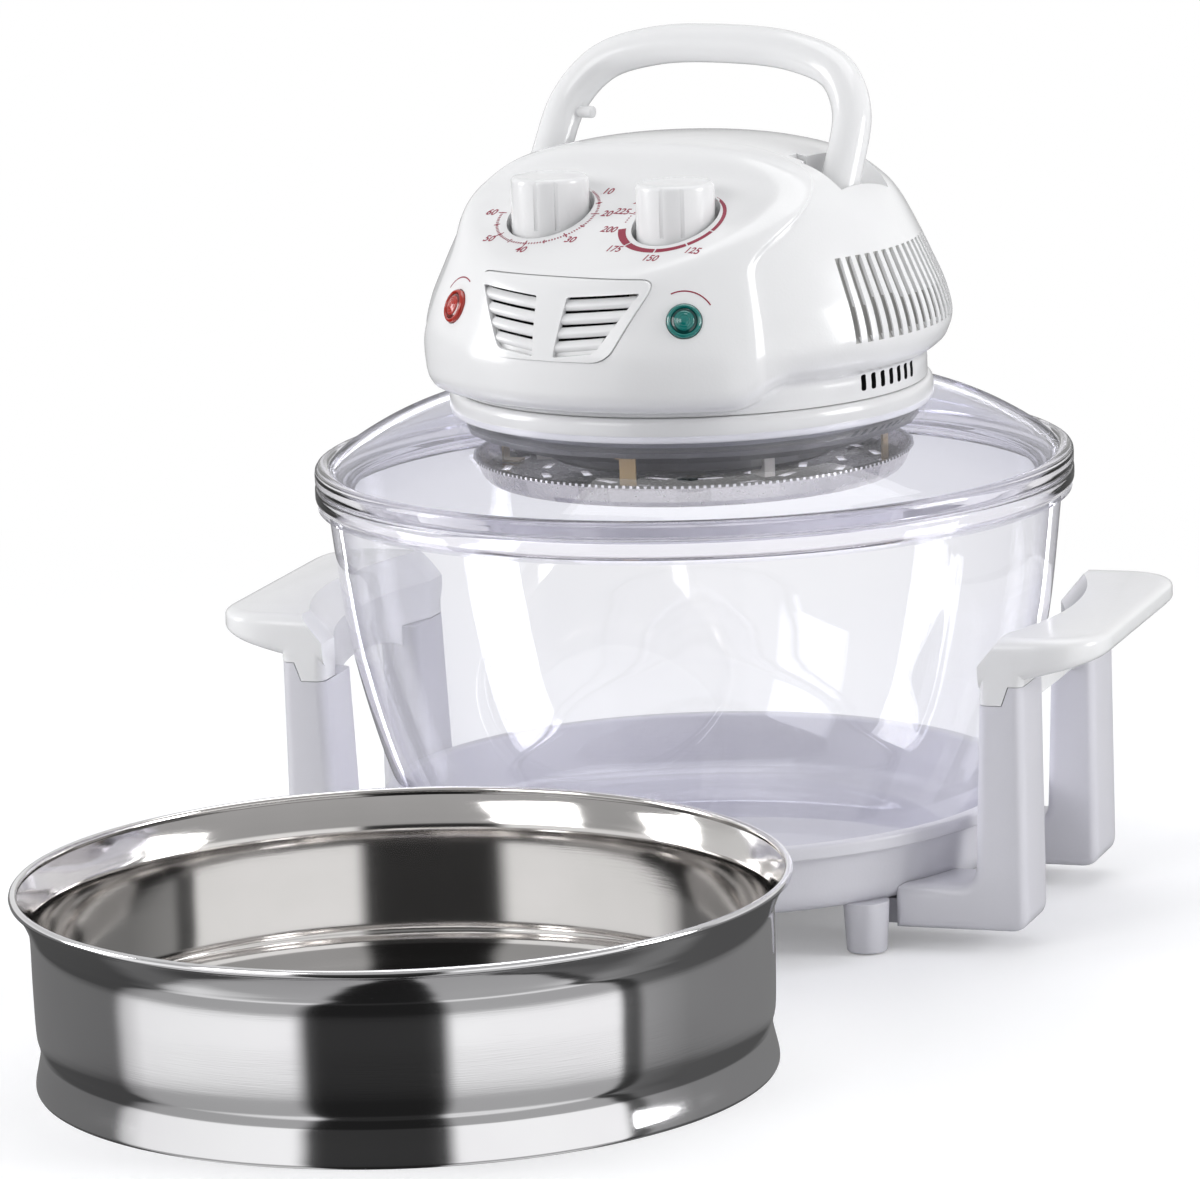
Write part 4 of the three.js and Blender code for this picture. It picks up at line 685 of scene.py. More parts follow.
def apron_mesh():
    """The skirt under a grip that follows the bowl, with an arch in its lower edge."""
    ring = carved(bar_mesh(BOWL_SIDE + APRON_WALL, APRON_LOW, CAP_TOP, HERE, 160),
                  bar_mesh(BOWL_SIDE, APRON_LOW - 6, GRIP_TOP, HERE, 160))
    front = carved(ring, box_mesh((60, -60, 90), (200, 60, 140)), operation="INTERSECT")
    arch = Matrix.Translation((LEG_TOP_INNER, 0, APRON_LOW)) @ Matrix.Diagonal((1, ARCH_HALF, ARCH_RISE, 1))
    ends = [box_mesh((0, low, 0), (220, high, SEAM_TOP)) for low, high in both_ends(APRON_END, 200)]
    return carved(front, bar_mesh(1, -60, 60, arch @ ALONG_X), together(ends))


def grip_mesh():
    plan = rounded([(GRIP_INNER, -LEG_FRONT), (GRIP_OUTER, -LEG_FRONT, GRIP_CORNER),
                    (GRIP_OUTER, LEG_FRONT, GRIP_CORNER), (GRIP_INNER, LEG_FRONT)], 16)
    body = soft_slab(plan, GRIP_TOP - GRIP_THICK, GRIP_TOP, GRIP_EDGE, HERE, 6, raised_under)
    caps = [prism_mesh(rectangle((LEG_TOP_INNER, low), (LEG_OUTER, high), LEG_EDGE, 8), SEAM_TOP, CAP_TOP)
            for low, high in both_ends(LEG_BACK, LEG_FRONT)]
    body = carved(body, apron_mesh(), *caps, operation="UNION")
    bowl_room = [(0, 80), (BOWL_SIDE, 80), (BOWL_SIDE, CHAMFER_LOW), (BOWL_SIDE + CHAMFER_RUN, GRIP_TOP),
                 (BOWL_SIDE + CHAMFER_RUN, ABOVE_GRIP), (0, ABOVE_GRIP)]
    slope_top = LEG_TOP_INNER + CHAMFER_RUN
    slope = [(100, CHAMFER_LOW), (LEG_TOP_INNER, CHAMFER_LOW), (slope_top, GRIP_TOP), (slope_top, ABOVE_GRIP),
             (100, ABOVE_GRIP)]
    side, outside = LEG_OUTER - 6.3, LEG_OUTER + 6
    leg_room = [(side - 3, 101), (outside, 101), (outside, 115.5), (side, 115.5), (side - 3, SEAM_TOP)]
    ends = [prism_mesh(leg_room, low, high, UPRIGHT) for low, high in both_ends(LEG_BACK - 0.01, BEYOND)]
    inner = [box_mesh((0, low, 0), (LEG_TOP_INNER, high, ABOVE_GRIP))
             for low, high in reversed(both_ends(60, BEYOND))]
    return carved(body, revolved(bowl_room, HERE, 240), prism_mesh(slope, -BEYOND, BEYOND, UPRIGHT),
                  together(ends), together(inner))


grip = grip_mesh()
for sx in (-1, 1):
    name = f"grip_{SIDE_NAMES[sx]}"
    shell = placed(mirrored(grip, sx, 1), AT_OVEN)
    add_object(f"{name}_shell", shell, "white_plastic", "holder", [name], 32)


# Head cover: the same curves as the CAD cover, with many more points
COVER_RADIUS = 118
COVER_BOTTOM = 231.3
COVER_HEIGHT = 107.7
COVER_TOP = COVER_BOTTOM + COVER_HEIGHT
COVER_WALL = 2.6
HOOD_ANGLE = 45
HOOD_TOP_ANGLE = 78
HOOD_STEP = 2.2
STEP_ANGLE = 3
PANEL_SLOPE = 25
PANEL_DISTANCE = 59
PANEL_DROP = 28.8
STEP_SLOPE = 50
STEP_DISTANCE = 25
STEP_DROP = 5
PANEL_BLEND = 5
FRONT_SHARES = [(0.869, 0), (0.886, 0.014), (0.958, 0.039), (0.992, 0.081), (1, 0.136), (0.994, 0.248),
                (0.962, 0.359), (0.919, 0.471), (0.864, 0.601), (0.805, 0.721), (0.746, 0.796),
                (0.644, 0.876), (0.508, 0.926), (0.356, 0.955), (0.17, 0.968), (0, 0.971)]
SIDE_SHARES = [(0.869, 0), (0.869, 0.06), (0.875, 0.1), (0.92, 0.13), (0.962, 0.17), (0.984, 0.248)]
front_rows = smooth(FRONT_SHARES)
side_rows = smooth(SIDE_SHARES + FRONT_SHARES[6:])


def above_slope(point, slope, distance, drop):
    turn = radians(slope)
    return (point.z - COVER_TOP + drop) * cos(turn) - (point.y + distance) * sin(turn)


def pressed(point, inset):
    """Moves a point of the cover down to the control panel, or to the soft step behind the panel."""
    over_panel = above_slope(point, PANEL_SLOPE, PANEL_DISTANCE, PANEL_DROP) + inset
    over_step = above_slope(point, STEP_SLOPE, STEP_DISTANCE, STEP_DROP) + inset
    share = eased(over_step - over_panel, -PANEL_BLEND, PANEL_BLEND)
    slope = radians(mixed(STEP_SLOPE, PANEL_SLOPE, share))
    above = mixed(over_step, over_panel, share)
    if point.y > 0 or above < -PANEL_BLEND:
        return point
    shift = above if above > PANEL_BLEND else (above + PANEL_BLEND) ** 2 / (4 * PANEL_BLEND)
    return point + Vector((0, sin(slope), -cos(slope))) * shift


def hood_edge(rise):
    return mixed(HOOD_ANGLE, HOOD_TOP_ANGLE, eased(rise, 0.55, 0.95))


def cover_point(angle, row, inset):
    sideways = eased(abs(angle), HOOD_ANGLE - 5, HOOD_ANGLE + 10)
    front, side = front_rows[row], side_rows[row]
    rise = mixed(front.y, side.y, sideways)
    hood = hood_edge(rise)
    step = HOOD_STEP * eased(rise, 0.05, 0.2) * (1 - eased(rise, 0.93, 1))
    step *= eased(abs(angle), hood, hood + STEP_ANGLE)
    radius = max(mixed(front.x, side.x, sideways) * COVER_RADIUS - step - inset, 0)
    turn = radians(angle)
    height = COVER_BOTTOM + rise * (COVER_HEIGHT - inset)
    return pressed(Vector((radius * sin(turn), -radius * cos(turn), height)), inset)


def cover_angles(rise):
    """Angles of a row's points: even over the hood and the back, and close together on the hood's step."""
    hood = hood_edge(rise)
    front = [hood * i / 28 for i in range(29)]
    step = [hood + STEP_ANGLE / 4 * i for i in range(1, 5)]
    back = [mixed(hood + STEP_ANGLE, 180, i / 44) for i in range(1, 45)]
    half = front + step + back
    return half + [-angle for angle in reversed(half[1:-1])]


def cover_body(inset=0, extra=0):
    """The closed body inside the cover's outer face, or inside a face set in from it, in the head's frame."""
    rows = len(front_rows) - 1
    rings = [[cover_point(angle, row, inset) for angle in cover_angles(front_rows[row].y)]
             for row in range(rows)]
    if extra:
        rings.insert(0, [Vector((p.x, p.y, COVER_BOTTOM - extra)) for p in rings[0]])
    count = len(rings[0])
    vertices = [p for ring in rings for p in ring]
    vertices += [cover_point(0, rows, inset), Vector((0, 0, COVER_BOTTOM - extra))]
    top, bottom = len(vertices) - 2, len(vertices) - 1
    faces = []
    for i in range(count):
        j = (i + 1) % count
        for r in range(len(rings) - 1):
            faces.append((r * count + i, r * count + j, (r + 1) * count + j, (r + 1) * count + i))
        last = (len(rings) - 1) * count
        faces += [(last + i, last + j, top), (j, i, bottom)]
    return mesh_of(vertices, faces)


def radius_at(height, rows):
    rise = (height - COVER_BOTTOM) / COVER_HEIGHT
    for a, b in zip(rows[2:], rows[3:]):
        if b.y >= rise > 0.2:
            return mixed(a.x, b.x, (rise - a.y) / (b.y - a.y)) * COVER_RADIUS
    return rows[0].x * COVER_RADIUS


# Places on the head
KNOB_X = 31.4
KNOB_Y = -59
WELL_FLOOR = 293.8
WELL_RADIUS = 19
PIVOT_X = 74
PIVOT_Z = COVER_TOP - 30
CHANNEL_HALF = 9.9
CHANNEL_DEEP = 9.65
CHANNEL_INNER_ROOM = 3
FOLDED = Matrix.Rotation(radians(28), 4, "X")
PEG_RISE = 38
PEG_AROUND = 4
PEG_REACH = 17.9
LENS_RADIUS = 7.4
LAMP_X = 57.2
LAMP_Z = COVER_BOTTOM + 42.3
UP = Vector((0, 0, 1))


def turned(degrees):
    return Matrix.Rotation(radians(degrees), 4, "Z")


def channel_tools(side, margin):
    """The handle's room on one side: standing, folded back and, on the left, round its peg."""
    half, deep = CHANNEL_HALF + margin, CHANNEL_DEEP + margin
    standing = Matrix.Translation((side * PIVOT_X, 0, PIVOT_Z))
    inner = half + CHANNEL_INNER_ROOM
    low_x, high_x = (-inner, half) if side > 0 else (-half, inner)
    boxes = [((-half, -deep, -deep), (half, deep, COVER_RADIUS), standing),
             ((low_x, CHANNEL_DEEP / 2, -deep), (high_x, COVER_RADIUS, COVER_RADIUS), standing @ FOLDED)]
    if side < 0:
        around = PEG_AROUND + margin
        boxes.append(((0, PEG_RISE - around, -around), (PEG_REACH + margin, PEG_RISE + around, COVER_RADIUS),
                      standing @ FOLDED))
    return [box_mesh(*box) for box in boxes]


def lamp_place(side):
    radius = radius_at(LAMP_Z, front_rows)
    slope = (radius_at(LAMP_Z - 6, front_rows) - radius_at(LAMP_Z + 6, front_rows)) / 12
    outward = Vector((side * LAMP_X, -sqrt(radius ** 2 - LAMP_X ** 2), 0))
    normal = (outward.normalized() + UP * slope).normalized()
    return Matrix.Translation(outward + UP * LAMP_Z) @ UP.rotation_difference(normal).to_matrix().to_4x4()


# Front grille. Pairs of widths are for its lower and upper edge.
GRILLE_TOP = COVER_TOP - 49
GRILLE_LOW = COVER_TOP - 82
GRILLE_HALF = (29, 44)
GRILLE_BAR = (10, 15)
GRILLE_CORNER = 7
LOUVRE_TOP = 283
LOUVRE_PITCH = 5.6
LOUVRE_RUN = 4.4
LOUVRES = 4
SLAT_HALF = 2.25
SLAT_CROWN = 1.9


def grille_outline(margin):
    (bottom, top), low, high = GRILLE_HALF, GRILLE_LOW + margin, GRILLE_TOP - margin
    ends = [(margin - bottom, low), (bottom - margin, low), (top - margin, high), (margin - top, high)]
    return rounded([(*end, GRILLE_CORNER) for end in ends], 8)


def window_outline(side):
    """The opening that holds the louvres of one side."""
    low, high = LOUVRE_TOP - LOUVRES * LOUVRE_PITCH, LOUVRE_TOP + 2
    start_low, start_high = GRILLE_BAR[0] / 2, GRILLE_BAR[1] / 2
    end_low, end_high = GRILLE_HALF[0] - 5, GRILLE_HALF[1] - 5
    drop = LOUVRE_RUN / 2
    corners = [(start_low, low - drop, 1), (end_low, low, 2.5), (end_high, high, 1.5),
               (start_high, high - drop, 1)]
    return rounded([(side * x, z, corner) for x, z, corner in corners[::side]], 5)


def slat_mesh(side, row):
    """One crowned slat that follows the front of the cover."""
    share = (row + 0.5) / LOUVRES
    start = mixed(GRILLE_BAR[1], GRILLE_BAR[0], share) / 2 - 0.8
    end = mixed(GRILLE_HALF[1], GRILLE_HALF[0], share) - 4.6
    rises = [mixed(-SLAT_HALF, SLAT_HALF, step / 8) for step in range(9)]
    section = [(rise, 0.5 - SLAT_CROWN * (rise / SLAT_HALF) ** 2) for rise in rises]
    section += [(2.0, -1.9), (-2.0, -1.9)]
    layers = []
    for k in range(29):
        t = k / 28
        x = side * mixed(start, end, t)
        middle = LOUVRE_TOP - row * LOUVRE_PITCH - 1.6 - LOUVRE_RUN / 2 * (1 - t)
        radii = [radius_at(middle + rise, front_rows) + depth for rise, depth in section]
        layers.append([Vector((x, -sqrt(radius ** 2 - x ** 2), middle + rise))
                       for radius, (rise, depth) in zip(radii, section)])
    return layered_mesh(layers)


# Grooves and vents in the sides, and how deep below the cover's face their faces start to get painted shade
GROOVE_LOW = COVER_TOP - 81
GROOVE_HIGH = COVER_TOP - 46
GROOVE_SPREAD = 34
GROOVE_SHADE = 1.1
GROOVES = 15
GROOVE_PITCH = 3.3
# Half widths of a groove by the distance out from the cover's face
GROOVE_WIDTHS = [(-2.2, 1.0), (-1.7, 1.4), (-0.7, 1.5), (0, 1.65), (0.35, 2.0), (3, 2.0)]
GROOVE_ENDS = 0.07
VENT_RISE = 3.6
VENT_HEIGHT = 7
VENT_HALF = 1.5
VENT_SHADE = 0.4
VENTS = 7
VENT_PITCH = 3.6
ON_FACE = 0.02


def rib_tool(angle):
    """A groove in the side of the cover, wider at its mouth so that the fins between grooves are rounded."""
    layers = []
    for k in range(15):
        share = k / 14
        height = mixed(GROOVE_LOW, GROOVE_HIGH, share)
        fade = min(1, 0.3 + share / GROOVE_ENDS, 0.3 + (1 - share) / GROOVE_ENDS)
        surface = radius_at(height, side_rows) - HOOD_STEP
        depths = [depth if depth > 0 else depth * fade for depth, _ in GROOVE_WIDTHS]
        left = [Vector((surface + depth, -half, height)) for depth, (_, half) in zip(depths, GROOVE_WIDTHS)]
        right = [Vector((p.x, -p.y, p.z)) for p in reversed(left)]
        layers.append([turned(angle) @ p for p in left + right])
    return layered_mesh(layers)


def vent_tool(angle):
    low = COVER_BOTTOM + VENT_RISE
    outline = rectangle((-VENT_HALF, low), (VENT_HALF, low + VENT_HEIGHT), 1.2, 5)
    place = turned(angle - 90) @ UPRIGHT @ Matrix.Rotation(pi, 4, "Y")
    return prism_mesh(outline, COVER_RADIUS / 2, COVER_RADIUS, place)


def at_knob(side):
    return Matrix.Translation((side * KNOB_X, KNOB_Y, 0))


# Where the gland goes through the back
GLAND_PLACE = Matrix.Translation((0, 0, COVER_BOTTOM + 26)) @ Matrix.Rotation(-pi / 2, 4, "X")
GLAND_RADIUS = 6.3
SWITCH_SLOT = ((56.6, -7, PIVOT_Z), (64.1, 0, COVER_TOP))
WELL_TOP = COVER_TOP + 9
GRILLE_REACH = (30, 124)


def head_cover():
    """The cover's shell with all its openings, and the body of its cavity."""
    cups = [bar_mesh(WELL_RADIUS + 2.2, WELL_FLOOR - 2, WELL_TOP, at_knob(side)) for side in (-1, 1)]
    left, right = (channel_tools(side, COVER_WALL) for side in (-1, 1))
    inside = carved(cover_body(COVER_WALL, 6), together(cups), together([left[0], right[0]]),
                    together([left[1], right[1]]), left[2])
    first, second, third = [], [], []
    for side in (-1, 1):
        rooms = channel_tools(side, 0)
        facing = 0 if side > 0 else 180
        first += [bar_mesh(WELL_RADIUS, WELL_FLOOR, WELL_TOP, at_knob(side), 96), rooms[0]]
        first.append(bar_mesh(LENS_RADIUS + 0.3, -12, 12, lamp_place(side)))
        first += [rib_tool(facing + side * ((i - GROOVES // 2) * GROOVE_PITCH + 3.5)) for i in range(GROOVES)]
        first += [vent_tool(facing + side * ((i - VENTS // 2) * VENT_PITCH - 2)) for i in range(VENTS)]
        second += [rooms[1], bar_mesh(3.6, 280, 300, at_knob(side))]
        third += rooms[2:]
    second.append(bar_mesh(GLAND_RADIUS, 60, 124, GLAND_PLACE))
    second.append(carved(prism_mesh(grille_outline(-0.3), *GRILLE_REACH, UPRIGHT), cover_body(1.7)))
    third += [box_mesh(*SWITCH_SLOT), prism_mesh(grille_outline(5), *GRILLE_REACH, UPRIGHT)]
    return carved(cover_body(), inside, together(first), together(second), together(third)), inside


def tree_of(mesh):
    points = [vertex.co.copy() for vertex in mesh.vertices]
    return BVHTree.FromPolygons(points, [tuple(face.vertices) for face in mesh.polygons])


def shaded(mesh, inside):
    """Paints shade on the cover: its inner faces and vent walls get the second material, a near-black painted
    shade, and its groove floors the third, a grey painted shade.
    """
    outer_tree = tree_of(cover_body())
    inner_tree = tree_of(inside)
    vent_top = COVER_BOTTOM + VENT_RISE + VENT_HEIGHT + 0.5
    spread = tan(radians(GROOVE_SPREAD))
    for face in mesh.polygons:
        depth = outer_tree.find_nearest(face.center)[3] / MM
        gap = inner_tree.find_nearest(face.center)[3] / MM
        at_side = abs(face.center.y) < abs(face.center.x) * spread
        height = face.center.z / MM
        # painted shade: faces on the cavity and deep vent walls get the near-black material, deep groove
        # floors the grey one
        if gap < ON_FACE or (at_side and depth > VENT_SHADE and height < vent_top):
            face.material_index = 1
        elif at_side and depth > GROOVE_SHADE and GROOVE_LOW - 1 < height < GROOVE_HIGH + 1:
            face.material_index = 2


cover, cover_cavity = head_cover()
cover_tree = tree_of(cover)
shaded(cover, cover_cavity)
add_object("cover", placed(cover, AT_HEAD), "white_plastic", "lid_head", ["head_cover"], 28,
           (finishes["white_plastic"], cover_inside_painted_shade, groove_floor_painted_shade))

frame_plate = carved(cover_body(-1), cover_body(1.4, 6))
frame_plate = carved(frame_plate, prism_mesh(grille_outline(0), 30, 126, UPRIGHT), operation="INTERSECT")
windows = [prism_mesh(window_outline(side), 40, 130, UPRIGHT) for side in (-1, 1)]
slats = [slat_mesh(side, row) for side in (-1, 1) for row in range(LOUVRES)]
grille = together([carved(frame_plate, together(windows)), *slats])
add_object("grille", placed(grille, AT_HEAD), "white_plastic", "lid_head", ["front_grille"], 40)

# Knobs: smooth caps with four fine grooves
KNOB_LOW = 295.4
KNOB_TOP = 326.4
KNOB_RADIUS = 17
KNOB_TURN = radians(26)
KNOB_GROOVE_X = 4.5
KNOB_GROOVE_DEEP = 0.65
KNOB_GROOVE_HALF = 0.8


def knob_mesh(side):
    outline = [(0, KNOB_LOW), (KNOB_RADIUS, KNOB_LOW, 0.8), (KNOB_RADIUS - 0.4, KNOB_TOP - 0.6, 2.2),
               (9, KNOB_TOP, 6), (0, KNOB_TOP)]
    tools = []
    for sx, sy in CORNERS:
        middle = sx * KNOB_GROOVE_X
        left, right = middle - KNOB_GROOVE_HALF, middle + KNOB_GROOVE_HALF
        face = sqrt(KNOB_RADIUS ** 2 - middle ** 2)
        low, high = sorted((sy * (face - KNOB_GROOVE_DEEP), sy * (face + 4)))
        groove = rounded([(left, low, 0.5), (right, low, 0.5), (right, high), (left, high)], 3)
        tools.append(prism_mesh(groove, KNOB_TOP - 22, KNOB_TOP + 2))
    knob = carved(revolved(outline, HERE, 128, 8), together(tools))
    knob.transform(Matrix.Rotation(KNOB_TURN, 4, "Z"))
    knob.transform(Matrix.Translation((side * KNOB_X * MM, KNOB_Y * MM, 0)))
    return placed(knob, AT_HEAD)


for side, dial in ((-1, "timer"), (1, "thermostat")):
    add_object(f"{dial}_cap", knob_mesh(side), "white_plastic", f"{dial}_dial", [f"{dial}_knob"], 40)

# Carry handle
HANDLE_RISE = 72.8
HANDLE_WIDE = 8.5
HANDLE_DEEP = 8.25
HANDLE_LEAN = radians(30)
HANDLE_SHARES = [(1, 0), (1, 0.27), (0.965, 0.6), (0.8, 0.845), (0.48, 0.965), (0, 1)]
PEG_RADIUS = 2.6


def even_curve(points, per):
    """A centripetal curve through points."""
    ends = [2 * points[0] - points[1], *points, 2 * points[-1] - points[-2]]
    out = []
    for i in range(1, len(points)):
        p = ends[i - 1:i + 3]
        times = [0.0]
        for a, b in zip(p, p[1:]):
            times.append(times[-1] + max((b - a).length, 1e-6) ** 0.5)
        for k in range(per):
            t = mixed(times[1], times[2], k / per)
            row = p
            for spans in (((0, 1), (1, 2), (2, 3)), ((0, 2), (1, 3)), ((1, 2),)):
                ends_of_spans = [(times[a], times[b]) for a, b in spans]
                row = [row[j] * ((high - t) / (high - low)) + row[j + 1] * ((t - low) / (high - low))
                       for j, (low, high) in enumerate(ends_of_spans)]
            out.append(row[0])
    out.append(points[-1])
    return out


def handle_mesh():
    half = [Vector((u * PIVOT_X, 0, v * HANDLE_RISE)) for u, v in HANDLE_SHARES]
    route = even_curve(half + [Vector((-p.x, 0, p.z)) for p in reversed(half[:-1])], 12)
    layers = []
    for i, point in enumerate(route):
        along = (route[min(i + 1, len(route) - 1)] - route[max(i - 1, 0)]).normalized()
        across = Vector((0, 1, 0)).cross(along)
        layers.append([point + across * (HANDLE_WIDE * x) + Vector((0, HANDLE_DEEP * y, 0))
                       for x, y in circle(1, 40)])
    body = layered_mesh(layers)
    for side in (-1, 1):
        place = Matrix.Translation((side * PIVOT_X, 0, 0)) @ ALONG_X
        eye = soft_slab(circle(HANDLE_DEEP, 64), -HANDLE_WIDE, HANDLE_WIDE, 0.8, place, 3)
        body = carved(carved(body, eye, operation="UNION"), bar_mesh(3.3, -20, 20, place))
    at_peg = Matrix.Translation((0, 0, PEG_RISE)) @ ALONG_X
    peg = soft_slab(circle(PEG_RADIUS, 32), -69.7, -57.5, 0.9, at_peg, 4)
    body = carved(body, peg, operation="UNION")
    body.transform(Matrix.Rotation(-HANDLE_LEAN, 4, "X"))
    body.transform(Matrix.Translation((0, 0, PIVOT_Z * MM)))
    return placed(body, AT_HEAD)


add_object("handle", handle_mesh(), "white_plastic", "carry_handle", ["carry_handle"], 40)

# Lamp lenses: a rim, a dark ring, and a crowned middle with fine rings
LENS_BACK = -8.8
LENS_FLANGE = LENS_RADIUS + 1.4
LENS_SHOULDER = LENS_BACK + 0.8
LENS_BODY = [(0, LENS_BACK), (LENS_FLANGE, LENS_BACK), (LENS_FLANGE, LENS_SHOULDER),
             (LENS_RADIUS, LENS_SHOULDER), (LENS_RADIUS, 0.9, 0.6), (6.3, 1.9, 0.5), (5.6, 1.2, 0.3),
             (5.5, 0.2), (0, 0.2)]
LENS_DARK = [(0, -0.6), (5.5, -0.6), (5.45, 1.1, 0.3), (4.3, 1.5, 0.3), (0, 1.2)]
LENS_CROWN = [(0, -0.4), (4.35, -0.4), (4.3, 1.75, 0.4), (3.5, 2.15, 0.3), (3.3, 1.95, 0.2), (2.4, 2.4, 0.3),
              (2.2, 2.2, 0.2), (1.2, 2.6, 0.3), (0, 2.6)]


def lens_mesh(side):
    parts = [revolved(outline, HERE, 64) for outline in (LENS_BODY, LENS_DARK, LENS_CROWN)]
    place = lamp_place(side)
    place.translation = place.translation * MM
    return placed(placed(together(parts, [0, 1, 0]), place), AT_HEAD)


for side, lamp, slot, dark in ((-1, "power", "red_lens", dark_red), (1, "heat", "green_lens", dark_green)):
    add_object(f"{lamp}_cap", lens_mesh(side), slot, "lid_head", [f"{lamp}_lens"], 30, (finishes[slot], dark))

# Printed scales: plain numbers and marks on the control panel, at angles in degrees
SCALE_Y = -60.9
SCALE_RADIUS = 22.6
SCALE_X = 31.5
SLOPE = radians(PANEL_SLOPE)
PANEL_UP = Vector((0, -sin(SLOPE), cos(SLOPE)))
PRINT_RISE = 0.06
DASH_RADII = (22.0, 23.2)
DASH_LONG = 1.6
DASH_PITCH = 3.3
DASH_START = 70
TIMER_END = -178
TIMER_NUMBERS = {10: 47, 15: 28, 20: 6, 25: -19, 30: -41, 35: -65, 40: -87, 45: -109, 50: -131, 55: -154,
                 60: TIMER_END}
HEAT_GAPS = [-161, -124, -83, -47, -14, 64]
HEAT_GAP_HALF = 0.9
HEAT_BAND_START = (20.9, 24.4)
HEAT_BAND_END = (21.6, 22.9)
LOW_DASHES = (157, 160.5, 164, 167.5, 174.5, 178.5, 182.5, 186.5)
LOW_DASH_RADII = (22.2, 23)
# Degrees, with the angle of each number and its distance out from the scale
HEAT_NUMBERS = {250: (148, 2.7), 225: (169, 4.3), 200: (-161, 4.4), 175: (-126, 5.6), 150: (-83, 5.6),
                125: (-47, 5.6)}
NUMBER_SIZE = 6.2
NUMBER_WIDTH_SHARE = 0.78
NUMBER_BOLDNESS = 0.12
NUMBER_SLANT = 0.16
ARC_RADII = (12.7, 13.3)


def on_cover(point, normal):
    """The nearest point of the cover under a point, a hair above the cover's face."""
    start = (point + normal * 15) * MM
    place = cover_tree.ray_cast(start, -normal, 0.05)[0]
    if place is None:
        return point
    return place / MM + normal * PRINT_RISE


def on_panel(x, along):
    """A point of the panel's plane at a place given from the middle of the scales."""
    point = Vector((x, SCALE_Y + along * cos(SLOPE), 0))
    point.z = COVER_TOP - PANEL_DROP + (point.y + PANEL_DISTANCE) * tan(SLOPE)
    return on_cover(point, PANEL_UP)


def flat_marks(marks, place):
    """A mesh of flat marks, each an outline of two coordinates, put in place by a function."""
    vertices, faces = [], []
    for mark in marks:
        faces.append(tuple(range(len(vertices), len(vertices) + len(mark))))
        vertices += [place(*point) for point in mark]
    return mesh_of(vertices, faces, tidy=False)


def arc_marks(centre, low, high, steps, radii, end_radii=None):
    """Quads along an arc, between two radii that may change from one end to the other."""
    marks = []
    for k in range(steps):
        quad = []
        for t, edge in ((k, 0), (k, 1), (k + 1, 1), (k + 1, 0)):
            a = radians(mixed(low, high, t / steps))
            radius = mixed(radii[edge], (end_radii or radii)[edge], t / steps)
            quad.append((centre + radius * cos(a), radius * sin(a)))
        marks.append(quad)
    return marks


def tick_marks(centre, angle, inner, outer, width):
    a = radians(angle)
    out = Vector((cos(a), sin(a)))
    side = Vector((-sin(a), cos(a))) * width / 2
    corners = (out * inner - side, out * outer - side, out * outer + side, out * inner + side)
    return [[(centre + p.x, p.y) for p in corners]]


def number_marks(number, centre, angle, distance, widening):
    """A number outside a scale, farther out sideways, where its own width would meet the scale."""
    curve = bpy.data.curves.new("number", "FONT")
    curve.body = str(number)
    curve.size = NUMBER_SIZE
    curve.offset = NUMBER_BOLDNESS
    curve.shear = NUMBER_SLANT
    curve.align_x = "CENTER"
    curve.align_y = "CENTER"
    curve.resolution_u = 4
    holder = linked("number", curve)
    mesh = evaluated_mesh(holder)
    bpy.data.objects.remove(holder)
    a = radians(angle)
    radius = SCALE_RADIUS + distance
    x = centre + (radius + widening * abs(cos(a))) * cos(a)
    y = radius * sin(a)
    points = [(x + NUMBER_WIDTH_SHARE * vertex.co.x, y + vertex.co.y) for vertex in mesh.vertices]
    return [[points[i] for i in face.vertices] for face in mesh.polygons]


def timer_scale():
    centre = -SCALE_X
    marks = []
    angle = DASH_START
    while angle > TIMER_END:
        marks += arc_marks(centre, angle, angle - DASH_LONG, 1, DASH_RADII)
        angle -= DASH_PITCH
    for minutes, angle in TIMER_NUMBERS.items():
        reach = 2.0 if minutes % 10 == 0 else 1.4
        marks += tick_marks(centre, angle, SCALE_RADIUS - reach, SCALE_RADIUS + reach, 0.6)
        if minutes % 10 == 0:
            marks += number_marks(minutes, centre, angle, 4.8, 0.8)
    return marks


def thermostat_scale():
    centre = SCALE_X
    marks = []
    for low, high in zip(HEAT_GAPS, HEAT_GAPS[1:]):
        ends = (low + HEAT_GAP_HALF, high - HEAT_GAP_HALF)
        shares = [(angle - HEAT_GAPS[0]) / (HEAT_GAPS[-1] - HEAT_GAPS[0]) for angle in ends]
        radii = [[mixed(a, b, share) for a, b in zip(HEAT_BAND_START, HEAT_BAND_END)] for share in shares]
        marks += arc_marks(centre, *ends, 12, *radii)
    for angle in LOW_DASHES:
        marks += arc_marks(centre, angle - HEAT_GAP_HALF, angle + HEAT_GAP_HALF, 1, LOW_DASH_RADII)
    marks += tick_marks(centre, 170, SCALE_RADIUS - 1.2, SCALE_RADIUS + 2.4, 0.5)
    for degrees, (angle, distance) in HEAT_NUMBERS.items():
        marks += number_marks(degrees, centre, angle, distance, 2.2)
    return marks


def lamp_arc(side):
    """A thin arc on the cover above a lamp."""
    place = lamp_place(side)
    normal = (place.to_3x3() @ UP).normalized()
    across = UP.cross(normal).normalized()
    above = normal.cross(across)

    def put(x, y):
        return on_cover(place.translation + across * x + above * y, normal)

    low, high = (31, 114) if side > 0 else (64, 147)
    return flat_marks(arc_marks(0, low, high, 20, ARC_RADII), put)


prints = {"timer_print": flat_marks(timer_scale(), on_panel),
          "thermostat_print": flat_marks(thermostat_scale(), on_panel),
          "power_print": lamp_arc(-1), "heat_print": lamp_arc(1)}
for name, mesh in prints.items():
    add_object(name, placed(mesh, AT_HEAD), "white_plastic", "lid_head", [], 0, (ink,))


# Floor, light and backdrop
FLOOR_HALF = 6000
